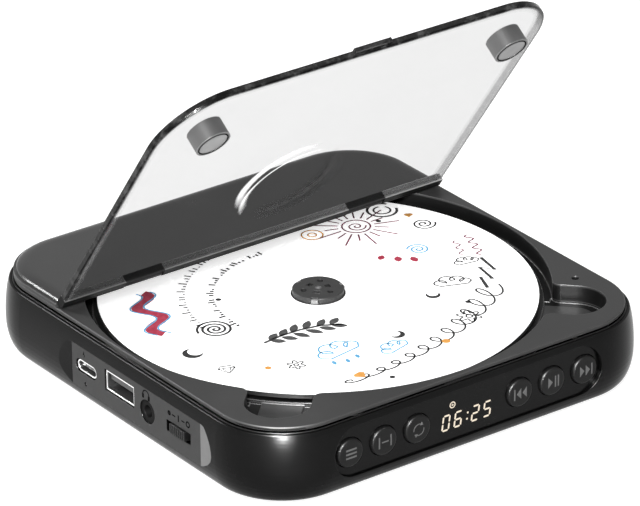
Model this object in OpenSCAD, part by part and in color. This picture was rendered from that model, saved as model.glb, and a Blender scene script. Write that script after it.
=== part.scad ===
// Small square disc player with a clear hinged lid, for a table or a wall.
// Millimetres, +Z up, the keys face -Y. The origin is on the table, under the middle of the body.

/* [Housing] */
// Land between the well and each side of the deck
side_land = 0.85; // [0.85:0.05:6]
// Land between the well and the front and rear edges of the deck
end_land = 1.85; // [1.85:0.05:6]
// Corner radius of the deck outline
corner_r = 19.5; // [16:0.5:24]
// Height of the deck above the table
deck_z = 22.4; // [22.4:0.2:30]
// How far the sides swell beyond the deck outline
bulge = 2.55; // [2:0.05:4]
// Height of the widest line of the sides
bulge_z = 9.6; // [8:0.2:12]
// Inset of the bottom edge from the deck outline
base_inset = 1.2; // [0.6:0.1:2]
// Thickness of the bottom shell's floor
floor_t = 1.6; // [1.2:0.1:2]
// Height of the deck's visible edge
band_t = 1.2; // [1:0.1:1.6]
// Dark gap between the deck and the seam ring
seam_gap = 0.35; // [0.25:0.05:0.6]
// Section of the square seam ring
ring_t = 0.35; // [0.25:0.05:0.5]

/* [Well and scoops] */
// Room between the disc and the wall of the round well
disc_room = 3.65; // [3:0.05:3.8]
// Wall of the well and the scoops
well_wall = 0.8; // [0.6:0.05:0.8]
// Depth of the channel that runs round the well
moat_depth = 5.4; // [5.2:0.1:5.5]
// Depth of the channel that runs round the scoops
scoop_depth = 5.6; // [5.6:0.1:6]
// Depth of the raised floor under the disc
platform_depth = 4.3; // [4.1:0.1:4.6]
// Width of the channel round the well
moat_w = 2.35; // [2:0.05:3]
// Depth of the pads in the scoops
pad_depth = 5.0; // [4.9:0.1:5.2]
// Thickness of the floor below the scoops' channel
well_floor_t = 1.2; // [1:0.1:1.5]
// Width of a finger scoop
scoop_w = 17.6; // [14:0.2:19]
// Distance from the well's edge to the centre of a scoop's round end
scoop_reach = 6.15; // [5.5:0.05:6.5]
// Width of the channel beside a scoop's pad
scoop_moat = 3.2; // [2:0.1:4]
// Rounding where a scoop meets the well
mouth_r = 2.5; // [1:0.1:4]
// Radius of the lid sensor's hole in the deck
sensor_hole_r = 1.15; // [0.8:0.05:1.5]
// Distance of the lid sensor's hole from the deck's right edge
sensor_side = 6.5; // [6:0.25:7]
// Distance of the lid sensor's hole from the deck's front edge
sensor_front = 26; // [25.5:0.25:26.5]

/* [Rear cover and hinge] */
// Height of the rear cover above the deck
cover_h = 2.6; // [2.4:0.1:3.5]
// Height of the deck's raised rim that carries the rear cover
rim_h = 1.05; // [0.9:0.05:1.1]
// Inset of the rear cover from the deck outline
cover_inset = 0.75; // [0.5:0.05:1.5]
// Rounding along the top edge of the rear cover
cover_edge_r = 1.2; // [0.8:0.1:1.3]
// Thickness of the rear cover's top
cover_t = 1.4; // [1:0.1:1.5]
// Wall of the rear cover
cover_wall = 1.5; // [1:0.1:1.6]
// Distance of the hinge axis from the deck's rear edge
cover_l = 35.75; // [32:0.25:40]
// Height of the hinge axis above the deck
hinge_h = 1.6; // [1.6:0.05:2]
// Radius of the hinge bar's barrel
barrel_r = 1.3; // [1:0.05:1.3]
// Radius of the hinge pins
pin_r = 0.6; // [0.4:0.05:0.7]
// Length of a hinge pin
pin_len = 19; // [16:0.5:24]
// Distance of each knuckle from the deck's side
knuckle_in = 27; // [24:0.5:30]
// Width of the notch for a knuckle
notch_w = 12.8; // [10:0.2:16]
// Length of the leaf that carries a knuckle
leaf_l = 13; // [10:0.5:16]
// Thickness of the leaf
leaf_t = 0.8; // [0.6:0.05:0.9]

/* [Lid] */
// Thickness of the clear lid
lid_t = 2; // [1.6:0.1:2.2]
// Distance of the lid's inner face below the hinge axis when shut
lid_drop = 0.84; // [0.8:0.02:0.9]
// Inset of the lid from each side of the deck
lid_side = 0.5; // [0.4:0.1:3]
// Inset of the lid's free edge from the deck's front edge
lid_front = 0.4; // [0.2:0.1:2]
// Corner radius of the lid
lid_corner_r = 19.3; // [16:0.1:22]
// Depth of the hinge bar that holds the lid's rear edge
bar_depth = 2.4; // [2:0.05:3]
// How far the hinge bar stands out of the lid's inner face
bar_proud = 0.4; // [0.1:0.05:0.4]
// Thickness of the hinge bar's web across the knuckles
bar_web = 0.35; // [0.3:0.05:0.6]
// Angle at which the lid stands open
lid_open = 54.4; // [40:0.1:60]
// Width of the finger tab
tab_w = 12; // [8:0.5:20]
// How far the finger tab stands out
tab_l = 1.5; // [1:0.1:2]
// Radius of the dish over the spindle
dish_r = 16; // [12:0.5:20]
// Depth of the dish over the spindle
dish_depth = 0.9; // [0.5:0.1:1.1]
// How far a post stands towards the middle from its scoop's end centre
post_in = 0.36; // [-0.6:0.12:1.2]
// How far a post stands towards the front from its scoop's end centre
post_ahead = 1.34; // [0:0.1:1.5]
// Radius of a post
post_r = 5.05; // [4.5:0.05:5.5]
// Length of a post
post_l = 5.2; // [4.5:0.1:5.2]
// Radius of a lid magnet
magnet_r = 4.2; // [3:0.1:4.3]
// Thickness of a lid magnet
magnet_t = 2; // [1.5:0.1:3]
// How far a lid magnet sits back in its post
magnet_sink = 0.15; // [0:0.05:0.3]

/* [Disc and spindle] */
// Distance of the spindle from the body's centre, front to back
spindle_y = -0.35; // [-0.5:0.05:0]
// Diameter of the disc
disc_d = 120; // [80:1:120]
// Thickness of the disc
disc_t = 1.2; // [1:0.1:1.2]
// Diameter of the disc's hole
disc_hole_d = 15; // [14.9:0.1:15.2]
// Depth of the disc's upper face below the deck
disc_depth = 2.47; // [2.4:0.01:2.6]
// Radius of the spindle's boss
boss_r = 7.1; // [6.9:0.05:7.2]
// Height of the boss above the disc
boss_proud = 1.59; // [1.2:0.01:1.8]
// Radius of the turntable
table_r = 14.5; // [12:0.5:15]
// Thickness of the turntable
table_t = 1.6; // [1.2:0.1:1.8]
// Radius of the opening for the turntable
table_hole_r = 17; // [16:0.5:20]
// Width of a claw
claw_w = 1.9; // [1.6:0.1:2.6]
// Height of a claw
claw_h = 1.1; // [0.8:0.1:1.3]
// Length of a claw
claw_l = 3.2; // [2.5:0.1:3.5]
// How far a claw stands out of the boss
claw_proud = 0.32; // [0.1:0.02:0.34]
// Angle of the first claw
claw_angle = 106; // [0:1:120]
// Radius of the spindle shaft
shaft_r = 1; // [0.8:0.05:1.2]
// Radius of the spindle motor
motor_r = 11; // [9:0.5:11]
// Height of the spindle motor
motor_h = 9; // [7:0.2:9.4]

/* [Pickup drive] */
// Height of the chassis plate's underside
chassis_z = 12.4; // [12.3:0.05:12.6]
// Thickness of the chassis plate
chassis_t = 1.2; // [0.8:0.1:1.4]
// Width of the chassis plate
chassis_w = 63; // [62:0.5:64]
// Distance of the chassis plate's front edge from the spindle
chassis_ahead = 17.65; // [17:0.05:19]
// Distance of the chassis plate's rear edge from the shell's wall
chassis_room = 1.5; // [1.2:0.1:1.7]
// Distance of the guide rods from the chassis plate's sides
rod_in = 15.5; // [15.25:0.25:16]
// Height of the guide rods' axes
rod_z = 7.6; // [7.4:0.1:7.8]
// Radius of the guide rods
rod_r = 1.5; // [1:0.1:1.6]
// Distance of the lens from the spindle at its inner end
lens_in = 24; // [23.5:0.25:24.5]
// Distance of the lens from the disc's edge at its outer end
track_margin = 3; // [3:0.5:10]
// Length of the sled behind the lens, towards the spindle
sled_tail = 11; // [10:0.2:12]
// Length of the sled ahead of the lens
sled_nose = 5; // [4.5:0.1:5]
// Height of the sled
sled_h = 7.2; // [6:0.1:7.3]
// Radius of the lens barrel
lens_r = 4; // [3:0.1:4.5]
// Gap between the lens and the disc
lens_gap = 1.5; // [1.2:0.05:1.8]
// Distance of the lead screw from the chassis plate's side
screw_in = 9; // [8.8:0.1:9.4]
// Radius of the lead screw
screw_r = 1.5; // [1:0.1:1.6]
// Radius of the sled motor
sled_motor_r = 4.6; // [4:0.1:4.7]
// Length of the sled motor
sled_motor_l = 14; // [10:0.5:18]
// Distance of the dampers from the chassis plate's sides
damper_in = 3.1; // [2.9:0.1:3.3]
// Distance of the dampers from the chassis plate's ends
damper_end = 5; // [4.5:0.1:5.5]
// Outer radius of a damper
damper_r = 3; // [2.6:0.1:3]
// Thickness of a damper's flange
damper_flange = 1.6; // [1.2:0.1:2]

/* [Key panel] */
// Width of the key panel's recess
panel_w = 88.8; // [86:0.2:88.8]
// Distance of the key board behind the panel's back
key_board_gap = 7.65; // [7.4:0.05:8]
// Width of the key board
key_board_w = 92; // [88:1:94]
// Height of the key panel's recess
panel_h = 14.5; // [13:0.1:14.5]
// Height of the keys' axes above the table
key_z = 11.7; // [11.4:0.1:11.8]
// Distance of the panel's face in front of the deck's front edge
panel_out = 1.15; // [1:0.05:1.4]
// Thickness of the panel's flange behind the wall
panel_flange_t = 0.6; // [0.4:0.05:0.6]
// Width of the panel's flange
panel_flange_w = 1; // [0.6:0.1:1.2]
// Distance of the outermost keys from the ends of the panel's recess
key_in = 5.4; // [5.2:0.1:5.7]
// Distance from key to key
key_pitch = 11; // [10.5:0.25:11]
// Radius of a key
key_r = 4; // [3.6:0.05:4.2]
// How far a key stands out of the panel
key_proud = 1.2; // [0.8:0.05:1.3]
// Travel of a key
key_travel = 0.4; // [0.2:0.05:0.5]
// Gap between the display module and the inner keys' flanges
display_gap = 1.2; // [0.4:0.1:4]
// Height of the display module
display_h = 8.6; // [8:0.1:8.8]

/* [Ports] */
// Distance of the flat for the ports outside the deck outline
port_flat = 1.9; // [1.7:0.05:2.1]
// Length of the flat for the ports
port_flat_l = 72.7; // [72:0.1:74]
// Height of the flat for the ports
port_flat_h = 13; // [12:0.1:13.5]
// Distance of the flat's middle from the deck's front edge
port_front = 56.6; // [56:0.1:57.2]
// Length of the ramp at each end of the flat
port_ramp = 6.5; // [4:0.5:8]
// Height of the flat's middle line
port_flat_z = 10.6; // [10.4:0.1:10.8]
// Distance of the USB-C socket behind the flat's middle
usb_c_back = 23.15; // [22.4:0.05:23.9]
// Height of the USB-C socket's middle
usb_c_z = 11.3; // [11:0.1:11.5]
// Distance of the USB-A socket behind the flat's middle
usb_a_back = 7.5; // [7:0.1:8]
// Height of the USB-A socket's middle
usb_a_z = 11.95; // [11.5:0.05:12.1]
// Distance of the headphone jack ahead of the flat's middle
jack_ahead = 5.55; // [5.1:0.05:6]
// Height of the headphone jack's axis
jack_z = 10.4; // [10.2:0.1:10.6]
// Radius of the headphone jack's bore
jack_r = 1.8; // [1.7:0.05:1.9]
// Depth of the headphone jack's bore
jack_bore_l = 14; // [13:0.5:15]
// Distance of the slide switch ahead of the flat's middle
switch_ahead = 19.9; // [19.6:0.1:20.1]
// Height of the slide switch's middle
switch_z = 10.35; // [10.2:0.05:10.5]
// Length of the slide switch's window
switch_window_l = 11; // [10.8:0.1:11.5]
// Height of the slide switch's window
switch_window_h = 3.3; // [3:0.1:3.6]
// Length of the knob
knob_l = 6.8; // [5:0.1:6.8]
// Travel of the knob each way from its middle stop
knob_travel = 1.8; // [1:0.1:1.8]
// How far the knob stands out of the flat
knob_proud = 0.6; // [0.2:0.05:0.6]
// Distance of the charge light behind the flat's middle
light_back = 23.65; // [23:0.05:24]
// Height of the charge light
light_z = 6.5; // [6.3:0.1:6.7]
// Radius of the charge light's hole
light_hole_r = 0.6; // [0.5:0.05:0.7]

/* [Boards and battery] */
// Upper face of the main board
board_z = 7.9; // [7.8:0.05:8]
// Thickness of the boards
board_t = 1.2; // [1:0.1:1.6]
// Distance of the main board from the left wall
board_side = 3.2; // [2.8:0.1:3.6]
// Distance between the main board and the chassis plate
board_chassis_gap = 3.5; // [3:0.1:4.5]
// Distance of the main board's front edge from the deck's front edge
board_ahead = 31.5; // [31.3:0.1:31.7]
// Length of the main board
board_l = 59; // [58.8:0.1:62]
// Gap between the battery and the chassis plate
battery_gap = 2.1; // [1.8:0.1:4]
// Gap between the battery and the right wall
battery_side = 3.1; // [2.6:0.1:6]
// Length of the battery
battery_l = 48; // [30:1:50]
// Thickness of the battery
battery_t = 8.5; // [5:0.1:9]

/* [Wall mounting and feet] */
// Distance of each keyhole from the deck's side
keyhole_side = 22.5; // [21.5:0.5:24]
// Distance of the keyholes' entries from the deck's rear edge
keyhole_rear = 27.5; // [26.5:0.5:31]
// Radius of a keyhole's entry
keyhole_r = 4.2; // [3.5:0.1:4.4]
// Half the width of a keyhole's slot
keyhole_slot_r = 2.1; // [1.5:0.1:2.2]
// Length of a keyhole's slot, from the entry's centre
keyhole_l = 7; // [5:0.5:8]
// How far the feet stand out below the shell
foot_proud = 0.5; // [0.4:0.05:0.8]
// Width of a corner foot
foot_w = 4; // [3:0.2:5]
// Depth of a foot's seat in the shell
foot_seat = 0.4; // [0.3:0.05:0.6]
// Gap between a foot's outer edge and the corner's deck outline
foot_inset = 2.4; // [2.2:0.1:4]
// Distance of the left front case screw from the deck's side
case_side_left = 8.5; // [8:0.25:9]
// Distance of the right front case screw from the deck's side
case_side_right = 5; // [4.75:0.05:5.2]
// Distance of the left front case screw from the deck's front edge
case_front_left = 28; // [27.5:0.25:28.5]
// Distance of the right front case screw from the deck's front edge
case_front_right = 34.5; // [34:0.25:35]
// Distance of the rear case screws from the deck's sides
case_side_rear = 12.5; // [11:0.5:13]
// Distance of the rear case screws from the deck's rear edge
case_rear = 15.5; // [15:0.5:17]
// Radius of a screw boss
boss_outer_r = 2.6; // [2.4:0.05:2.7]
// Radius of a case screw
screw_shaft_r = 1; // [0.8:0.05:1.2]
// Radius of a screw's head
screw_head_r = 1.95; // [1.7:0.05:2]
// Height at which shell and deck bosses meet
boss_joint_z = 12; // [11:0.5:13]

/* [Fits] */
// Gap round a shaft, pin or rod that turns or slides
running_gap = 0.05; // [0.03:0.01:0.09]
// Gap between a key and its hole
key_gap = 0.3; // [0.2:0.05:0.35]
// Gap beside parts that slide past each other
slide_gap = 0.15; // [0.1:0.05:0.2]
// Gap round sockets in the wall
socket_gap = 0.3; // [0.2:0.05:0.4]
// Gap between fixed parts
seat_gap = 0.1; // [0.05:0.05:0.15]
// Gap between the cover and the hinge bar
hinge_gap = 0.35; // [0.3:0.05:0.5]

/* [Hidden] */
$fn = 96;
hair = 0.01;

// Outlines, from the disc outwards
well_r = disc_d / 2 + disc_room;
platform_r = well_r - moat_w;
scoop_end = well_r + scoop_reach;
body_w = 2 * (well_r + side_land);
body_l = 2 * (well_r + end_land);
left = -body_w / 2;
right = body_w / 2;
front = -body_l / 2;
rear = body_l / 2;
sensor_x = right - sensor_side;
sensor_y = front + sensor_front;
hinge_y = rear - cover_l;
lid_w = body_w - 2 * lid_side;
lid_l = hinge_y - front - lid_front;
knuckle_x = right - knuckle_in;
post_x = scoop_end * cos(45) - post_in;
post_s = hinge_y - spindle_y + scoop_end * sin(45) + post_ahead;

// Levels from the table up
floor_z = foot_proud + floor_t;
band_z = deck_z - band_t;
ring_z = band_z - seam_gap - ring_t;
moat_z = deck_z - moat_depth;
scoop_z = deck_z - scoop_depth;
under_z = scoop_z - well_floor_t;
platform_z = deck_z - platform_depth;
pad_z = deck_z - pad_depth;
disc_top = deck_z - disc_depth;
disc_low = disc_top - disc_t;
axis_z = deck_z + hinge_h;
chassis_top = chassis_z + chassis_t;

// Shell wall: the cavity stands a little outside the deck outline, and is tighter near the floor
cavity_out = 0.2;
cavity_low_in = 1.2;
cavity_step_z = key_z - panel_h / 2 - panel_flange_w - 0.15;
lip_t = 0.35;
lip_round = 0.35;
corner_x = body_w / 2 - corner_r;
corner_y = body_l / 2 - corner_r;
wall_y = body_l / 2 + cavity_out;
wall_x = body_w / 2 + cavity_out;

// Fasteners between deck and shell: front left, front right, rear left, rear right
case_spots = [[left + case_side_left, front + case_front_left],
    [right - case_side_right, front + case_front_right],
    [left + case_side_rear, rear - case_rear], [right - case_side_rear, rear - case_rear]];
head_t = 1.4;
pilot_r = screw_shaft_r + running_gap;
screw_end = 17.5;

// Chassis, and places along the pickup's travel, front to back
rod_x = chassis_w / 2 - rod_in;
screw_x = chassis_w / 2 - screw_in;
chassis_front = spindle_y - chassis_ahead;
chassis_rear = wall_y - chassis_room;
lens_y = spindle_y + lens_in;
sled_travel = disc_d / 2 - track_margin - lens_in;
sled_back = lens_y - sled_tail;
sled_front = lens_y + sled_nose;
lug_t = 1.8;
rear_lug_y = chassis_rear - lug_t;
front_lug_y = spindle_y + motor_r - 3;
screw_lug_y = 5;
lens_room = 0.3;
sled_z = chassis_z - slide_gap * 2 - sled_h;
lens_top = disc_low - lens_gap;
tower_w = 13;
tower_top = under_z - 0.4;
damper_x = chassis_w / 2 - damper_in;
damper_spots = [for (x = [-damper_x, damper_x], y = [chassis_front + damper_end, chassis_rear - damper_end])
    [x, y]];
damper_core_r = damper_r - 0.8;
damper_bore_r = 1.3;
post_top = chassis_z - damper_flange;

// Hinge screws
hinge_screw_r = 0.6;
hinge_head_r = 1.2;
hinge_head_t = 0.5;

// Hub and claws
claw_z = disc_top + 0.2;
claw_in = boss_r + claw_proud - claw_l;
claw_stroke = 0.5;
hub_sleeve_r = 4;
hub_sleeve_gap = 0.6;
hub_notch = 0.9;
hub_edge = 0.2;
hub_slot = [1.6, 1.8, 0.8];
hub_slot_r = 2;
hub_eye_r = 0.9;
hub_eye_at = 4.2;
hub_eye_depth = 1.2;
pad_w = 5.4;
pad_t = 0.35;

// Key panel and keys
panel_y = -body_l / 2 - panel_out;
panel_back = -wall_y + 0.05;
key_last = panel_w / 2 - key_in;
key_xs = [for (i = [0, 1, 2]) -key_last + i * key_pitch, for (i = [2, 1, 0]) key_last - i * key_pitch];
key_flange_r = key_r + 0.7;
key_flange_t = 0.7;
key_stem_r = 1.5;
key_board_y = panel_back + key_board_gap;
tact_w = 6;
tact_t = 3.4;
tact_tip = 0.5;
key_board_h = under_z - 0.5 - floor_z;
rail = [6, 1.5, 3];
display_z = key_z - 0.9;
display_w = 2 * (key_last - 2 * key_pitch - key_flange_r - display_gap);

// Ports, measured from the left wall and from the middle of their flat
flat_x = left - port_flat;
port_flat_y = front + port_front;
usb_c_y = port_flat_y + usb_c_back;
usb_a_y = port_flat_y + usb_a_back;
jack_y = port_flat_y - jack_ahead;
switch_y = port_flat_y - switch_ahead;
light_y = port_flat_y + light_back;
usb_c = [8.94, 3.26];
usb_c_l = 8;
usb_c_tongue = [6.6, 0.7];
usb_a = [13.1, 5.7];
usb_a_l = 12;
usb_a_tongue = [11, 1.6];
socket_t = 0.35;
socket_back = 0.5;
socket_leg = [1.2, 0.8];
mouth_in = 0.35;
tongue_in = 0.9;
jack_nose_r = 3.3;
jack_body = [13, 6.4, 5];
switch_body_d = 4;

// Boards, battery and keyholes
board_left = -wall_x + board_side;
board_right = -chassis_w / 2 - board_chassis_gap;
board_front = front + board_ahead;
board_rear = board_front + board_l;
battery_left = chassis_w / 2 + battery_gap;
battery_w = wall_x - battery_side - battery_left;
keyhole_x = right - keyhole_side;
keyhole_y = rear - keyhole_rear;

// Outer side of the bottom shell: [distance outside the deck outline, height]
lip_z = ring_z + 0.2;
rise = deck_z - bulge_z;
drop = bulge_z - foot_proud;
lip_angle = asin((lip_z - lip_round - bulge_z) / rise);
side_steps = 9;
function upper_side(a) = [bulge * cos(a), bulge_z + rise * sin(a)];
function lower_side(a) = [(bulge + base_inset) * cos(a) - base_inset, bulge_z - drop * sin(a)];
shell_side = concat(
    [for (i = [side_steps:-1:1]) lower_side(90 * i / side_steps)],
    [for (i = [0:side_steps]) upper_side(lip_angle * i / side_steps)],
    [for (a = [30, 60, 90]) [upper_side(lip_angle)[0] - lip_round * (1 - cos(a)),
        lip_z - lip_round + lip_round * sin(a)]]);

// Rear cover's side above the deck's rim: a shadow gap and a wide, low shoulder
cover_top = deck_z + cover_h;
rim_z = deck_z + rim_h;
rim_t = cover_inset + cover_wall;
shadow = 0.2;
cover_front = hinge_y + barrel_r + hinge_gap;
cover_side = concat(
    [[-cover_inset - shadow, rim_z], [-cover_inset - shadow, rim_z + shadow],
        [-cover_inset, rim_z + shadow]],
    [for (a = [0:15:90]) [-cover_inset - 3 * cover_edge_r * (1 - cos(a)),
        cover_top - cover_edge_r + cover_edge_r * sin(a)]]);

// A block on the deck's rounded outline whose side follows the points given as [outset, height]
module outline_block(side, w = body_w, l = body_l, r = corner_r) {
    run_x = w - 2 * r;
    run_y = l - 2 * r;
    low = side[0][1];
    high = side[len(side) - 1][1];
    corner = concat([[0, low]], [for (p = side) [r + p[0], p[1]]], [[0, high]]);
    middle = concat([for (p = side) [l / 2 + p[0], p[1]]],
        [for (i = [len(side) - 1:-1:0]) [-l / 2 - side[i][0], side[i][1]]]);
    rotate([90, 0, 90])
        translate([0, 0, -run_x / 2])
            linear_extrude(run_x)
                polygon(middle);
    for (side_x = [0, 1])
        mirror([side_x, 0, 0])
            translate([run_x / 2, run_y / 2, 0])
                rotate([90, 0, 0])
                    linear_extrude(run_y)
                        polygon(corner);
    for (q = [0:3])
        translate([(q == 0 || q == 3 ? 1 : -1) * run_x / 2, (q < 2 ? 1 : -1) * run_y / 2, 0])
            rotate(90 * q)
                rotate_extrude(angle = 90)
                    polygon(corner);
}

// An upright block on the deck's outline, grown by out
module outline_prism(out, low, high) {
    outline_block([[out, low], [out, high]]);
}

// Flat shapes
module stadium(w, h) {
    square([w - h, h], center = true);
    for (s = [-1, 1])
        translate([s * (w - h) / 2, 0])
            circle(d = h);
}

module rounded(w, h, r) {
    square([w - 2 * r, h], center = true);
    square([w, h - 2 * r], center = true);
    for (x = [-1, 1], y = [-1, 1])
        translate([x * (w / 2 - r), y * (h / 2 - r)])
            circle(r);
}

// Turns a flat shape to face the left wall, its first axis running from front to back
module on_left(x, y, z) {
    translate([x, y, z])
        rotate([90, 0, 90])
            children();
}

// Turns a flat shape to face the front, its first axis running from left to right
module on_front(x, y, z) {
    translate([x, y, z])
        rotate([-90, 0, 0])
            mirror([0, 1, 0])
                children();
}

// Places its children at each case screw
module at_case_spots() {
    for (spot = case_spots)
        translate([spot[0], spot[1], 0])
            children();
}

// Turns its children towards the two front corners, the first axis running outwards
module to_front_corners() {
    for (a = [-135, -45])
        translate([0, spindle_y, 0])
            rotate(a)
                children();
}

// Plan of a scoop, half_w wide to each side, running out from inside the well
module scoop_plan(half_w) {
    start = platform_r - 12;
    translate([start, -half_w])
        square([scoop_end - start, 2 * half_w]);
    translate([scoop_end, 0])
        circle(half_w);
}

// Rounds off the two corners where a scoop leaves the well, with a hairline step at each end
module mouth_rounding() {
    h = scoop_w / 2;
    reach = mouth_r + 0.03;
    c = [sqrt(pow(well_r + reach, 2) - pow(h + reach, 2)), h + reach];
    in_well = c * (well_r - 0.4) / (well_r + reach);
    corner = [sqrt(well_r * well_r - h * h), h];
    for (s = [0, 1])
        mirror([0, s])
            difference() {
                polygon([in_well, corner - [0.8, 0.4], [c[0], h - 0.4], c]);
                translate(c)
                    circle(mouth_r);
            }
}

module bottom_shell() {
    color([0.14, 0.14, 0.15])
    difference() {
        union() {
            difference() {
                outline_block(shell_side);
                outline_prism(cavity_out, cavity_step_z, lip_z + 1);
                outline_prism(-cavity_low_in, floor_z, cavity_step_z + hair);
                outline_prism(cavity_out + lip_t, ring_z, lip_z + 1);
            }
            at_case_spots()
                translate([0, 0, floor_z - hair])
                    cylinder(r = boss_outer_r, h = boss_joint_z - floor_z + hair);
            for (spot = damper_spots)
                translate([spot[0], spot[1], floor_z - hair])
                    cylinder(r = damper_r, h = post_top - floor_z + hair);
            board_posts();
            key_board_rails();
        }
        at_case_spots() {
            translate([0, 0, -1])
                cylinder(r = pilot_r + 0.15, h = deck_z);
            translate([0, 0, -1])
                cylinder(r = screw_head_r + seat_gap, h = 1 + foot_proud + head_t);
        }
        for (spot = damper_spots)
            translate([spot[0], spot[1], floor_z + 1])
                cylinder(r = pilot_r, h = deck_z);
        for (spot = board_spots)
            translate([spot[0], spot[1], floor_z + 1])
                cylinder(r = pilot_r, h = deck_z);
        keyholes();
        foot_shapes(foot_proud + foot_seat);
        on_front(0, -body_l / 2 - bulge - 2, key_z)
            linear_extrude(bulge + 4)
                stadium(panel_w, panel_h);
        port_recess();
        port_holes();
    }
}

// Posts under the main board
board_spots = [[board_left + 4, board_front + 3.2], [board_right - 4, board_front + 3.2],
    [board_left + 4, board_rear - 3.2], [board_right - 4, board_rear - 3.2]];

module board_posts() {
    for (spot = board_spots)
        translate([spot[0], spot[1], floor_z - hair])
            cylinder(r = 2.4, h = board_z - board_t - floor_z + hair);
}

// Rails that hold the upright key board by its lower corners
module key_board_rails() {
    for (s = [-1, 1], y = [key_board_y - rail[1] - seat_gap, key_board_y + board_t + seat_gap])
        translate([s * (key_board_w / 2 - rail[0]) - rail[0] / 2, y, floor_z - hair])
            cube([rail[0], rail[1], rail[2]]);
}

module keyholes() {
    for (s = [-1, 1])
        translate([s * keyhole_x, keyhole_y, -1])
            linear_extrude(floor_z + 2) {
                circle(keyhole_r);
                translate([-keyhole_slot_r, 0])
                    square([2 * keyhole_slot_r, keyhole_l]);
                translate([0, keyhole_l])
                    circle(keyhole_slot_r);
            }
}

// Corner feet as quarter rings, up to the height given
module foot_shapes(high) {
    outer = corner_r - foot_inset;
    for (q = [0:3])
        translate([(q == 0 || q == 3 ? 1 : -1) * corner_x, (q < 2 ? 1 : -1) * corner_y, 0])
            rotate(90 * q)
                rotate_extrude(angle = 90)
                    translate([outer - foot_w, 0])
                        square([foot_w, high]);
}

// Flat on the swelling left wall, with a ramp at each end
module port_recess() {
    half = port_flat_l / 2;
    far = body_w / 2 + bulge + 1;
    ramp_x = body_w / 2 + bulge + 0.1;
    intersection() {
        translate([0, port_flat_y, 0])
            linear_extrude(deck_z)
                polygon([[-far, half], [-ramp_x, half], [flat_x, half - port_ramp],
                    [flat_x, port_ramp - half], [-ramp_x, -half], [-far, -half]]);
        on_left(-far - 1, port_flat_y, port_flat_z)
            linear_extrude(bulge + 4)
                stadium(port_flat_l, port_flat_h);
    }
}

module port_holes() {
    start = -body_w / 2 - bulge - 1;
    on_left(start, usb_c_y, usb_c_z)
        linear_extrude(bulge + 2)
            rounded(usb_c[0] + 2 * socket_gap, usb_c[1] + 2 * socket_gap, usb_c[1] / 2);
    on_left(start, usb_a_y, usb_a_z)
        linear_extrude(bulge + 2)
            square([usb_a[0] + 2 * socket_gap, usb_a[1] + 2 * socket_gap], center = true);
    on_left(start, jack_y, jack_z)
        cylinder(r = jack_nose_r + seat_gap, h = bulge + 2);
    on_left(start, switch_y, switch_z)
        linear_extrude(bulge + 2)
            square([switch_window_l, switch_window_h], center = true);
    on_left(start, light_y, light_z)
        cylinder(r = light_hole_r, h = bulge + 2);
}

module seam_ring() {
    color([0.3, 0.3, 0.31])
    difference() {
        outline_prism(cavity_out + lip_t - seat_gap * 1.5, ring_z, ring_z + ring_t);
        outline_prism(0.05, ring_z - 1, ring_z + ring_t + 1);
    }
}

module deck() {
    color([0.29, 0.29, 0.3])
    difference() {
        union() {
            outline_block([[-0.2, band_z], [0, band_z + 0.2], [0, deck_z - 0.2], [-0.2, deck_z]]);
            translate([0, spindle_y, under_z])
                cylinder(r = well_r + well_wall, h = band_z - under_z + hair);
            to_front_corners()
                translate([0, 0, under_z])
                    linear_extrude(band_z - under_z + hair)
                        scoop_plan(scoop_w / 2 + well_wall);
            at_case_spots()
                translate([0, 0, boss_joint_z])
                    cylinder(r = boss_outer_r, h = band_z - boss_joint_z + hair);
            translate([sensor_x, sensor_y, band_z - 1.2])
                cylinder(r = sensor_hole_r + 1.2, h = 1.2 + hair);
            behind_hinge()
                difference() {
                    outline_prism(0, deck_z - hair, rim_z);
                    outline_prism(-rim_t, deck_z - 1, rim_z + 1);
                }
        }
        difference() {
            union() {
                translate([0, spindle_y, moat_z])
                    cylinder(r = well_r, h = moat_depth + rim_h + 1);
                to_front_corners()
                    translate([0, 0, scoop_z])
                        linear_extrude(scoop_depth + 1) {
                            scoop_plan(scoop_w / 2);
                            mouth_rounding();
                        }
            }
            translate([0, spindle_y, scoop_z - 1])
                cylinder(r = platform_r, h = platform_z - scoop_z + 1);
            to_front_corners()
                translate([0, 0, scoop_z - 1])
                    linear_extrude(pad_z - scoop_z + 1)
                        scoop_plan(scoop_w / 2 - scoop_moat);
        }
        translate([0, spindle_y, under_z - 1]) {
            cylinder(r = table_hole_r, h = deck_z);
            translate([-tower_w / 2 - 3, 0, 0])
                cube([tower_w + 6, lens_in + sled_travel + lens_r + 0.5, deck_z]);
        }
        translate([sensor_x, sensor_y, under_z])
            cylinder(r = sensor_hole_r, h = deck_z);
        at_case_spots()
            translate([0, 0, boss_joint_z - 1])
                cylinder(r = pilot_r, h = screw_end + 0.5 - boss_joint_z + 1);
    }
}

// Keeps what lies behind the hinge bar
module behind_hinge() {
    intersection() {
        children();
        translate([-body_w, cover_front, deck_z - 1])
            cube([2 * body_w, body_l, cover_h + 2]);
    }
}

module rear_cover() {
    color([0.37, 0.37, 0.38])
    difference() {
        behind_hinge()
            outline_block(cover_side);
        outline_prism(-rim_t, deck_z - 1, cover_top - cover_t);
    }
}

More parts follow.
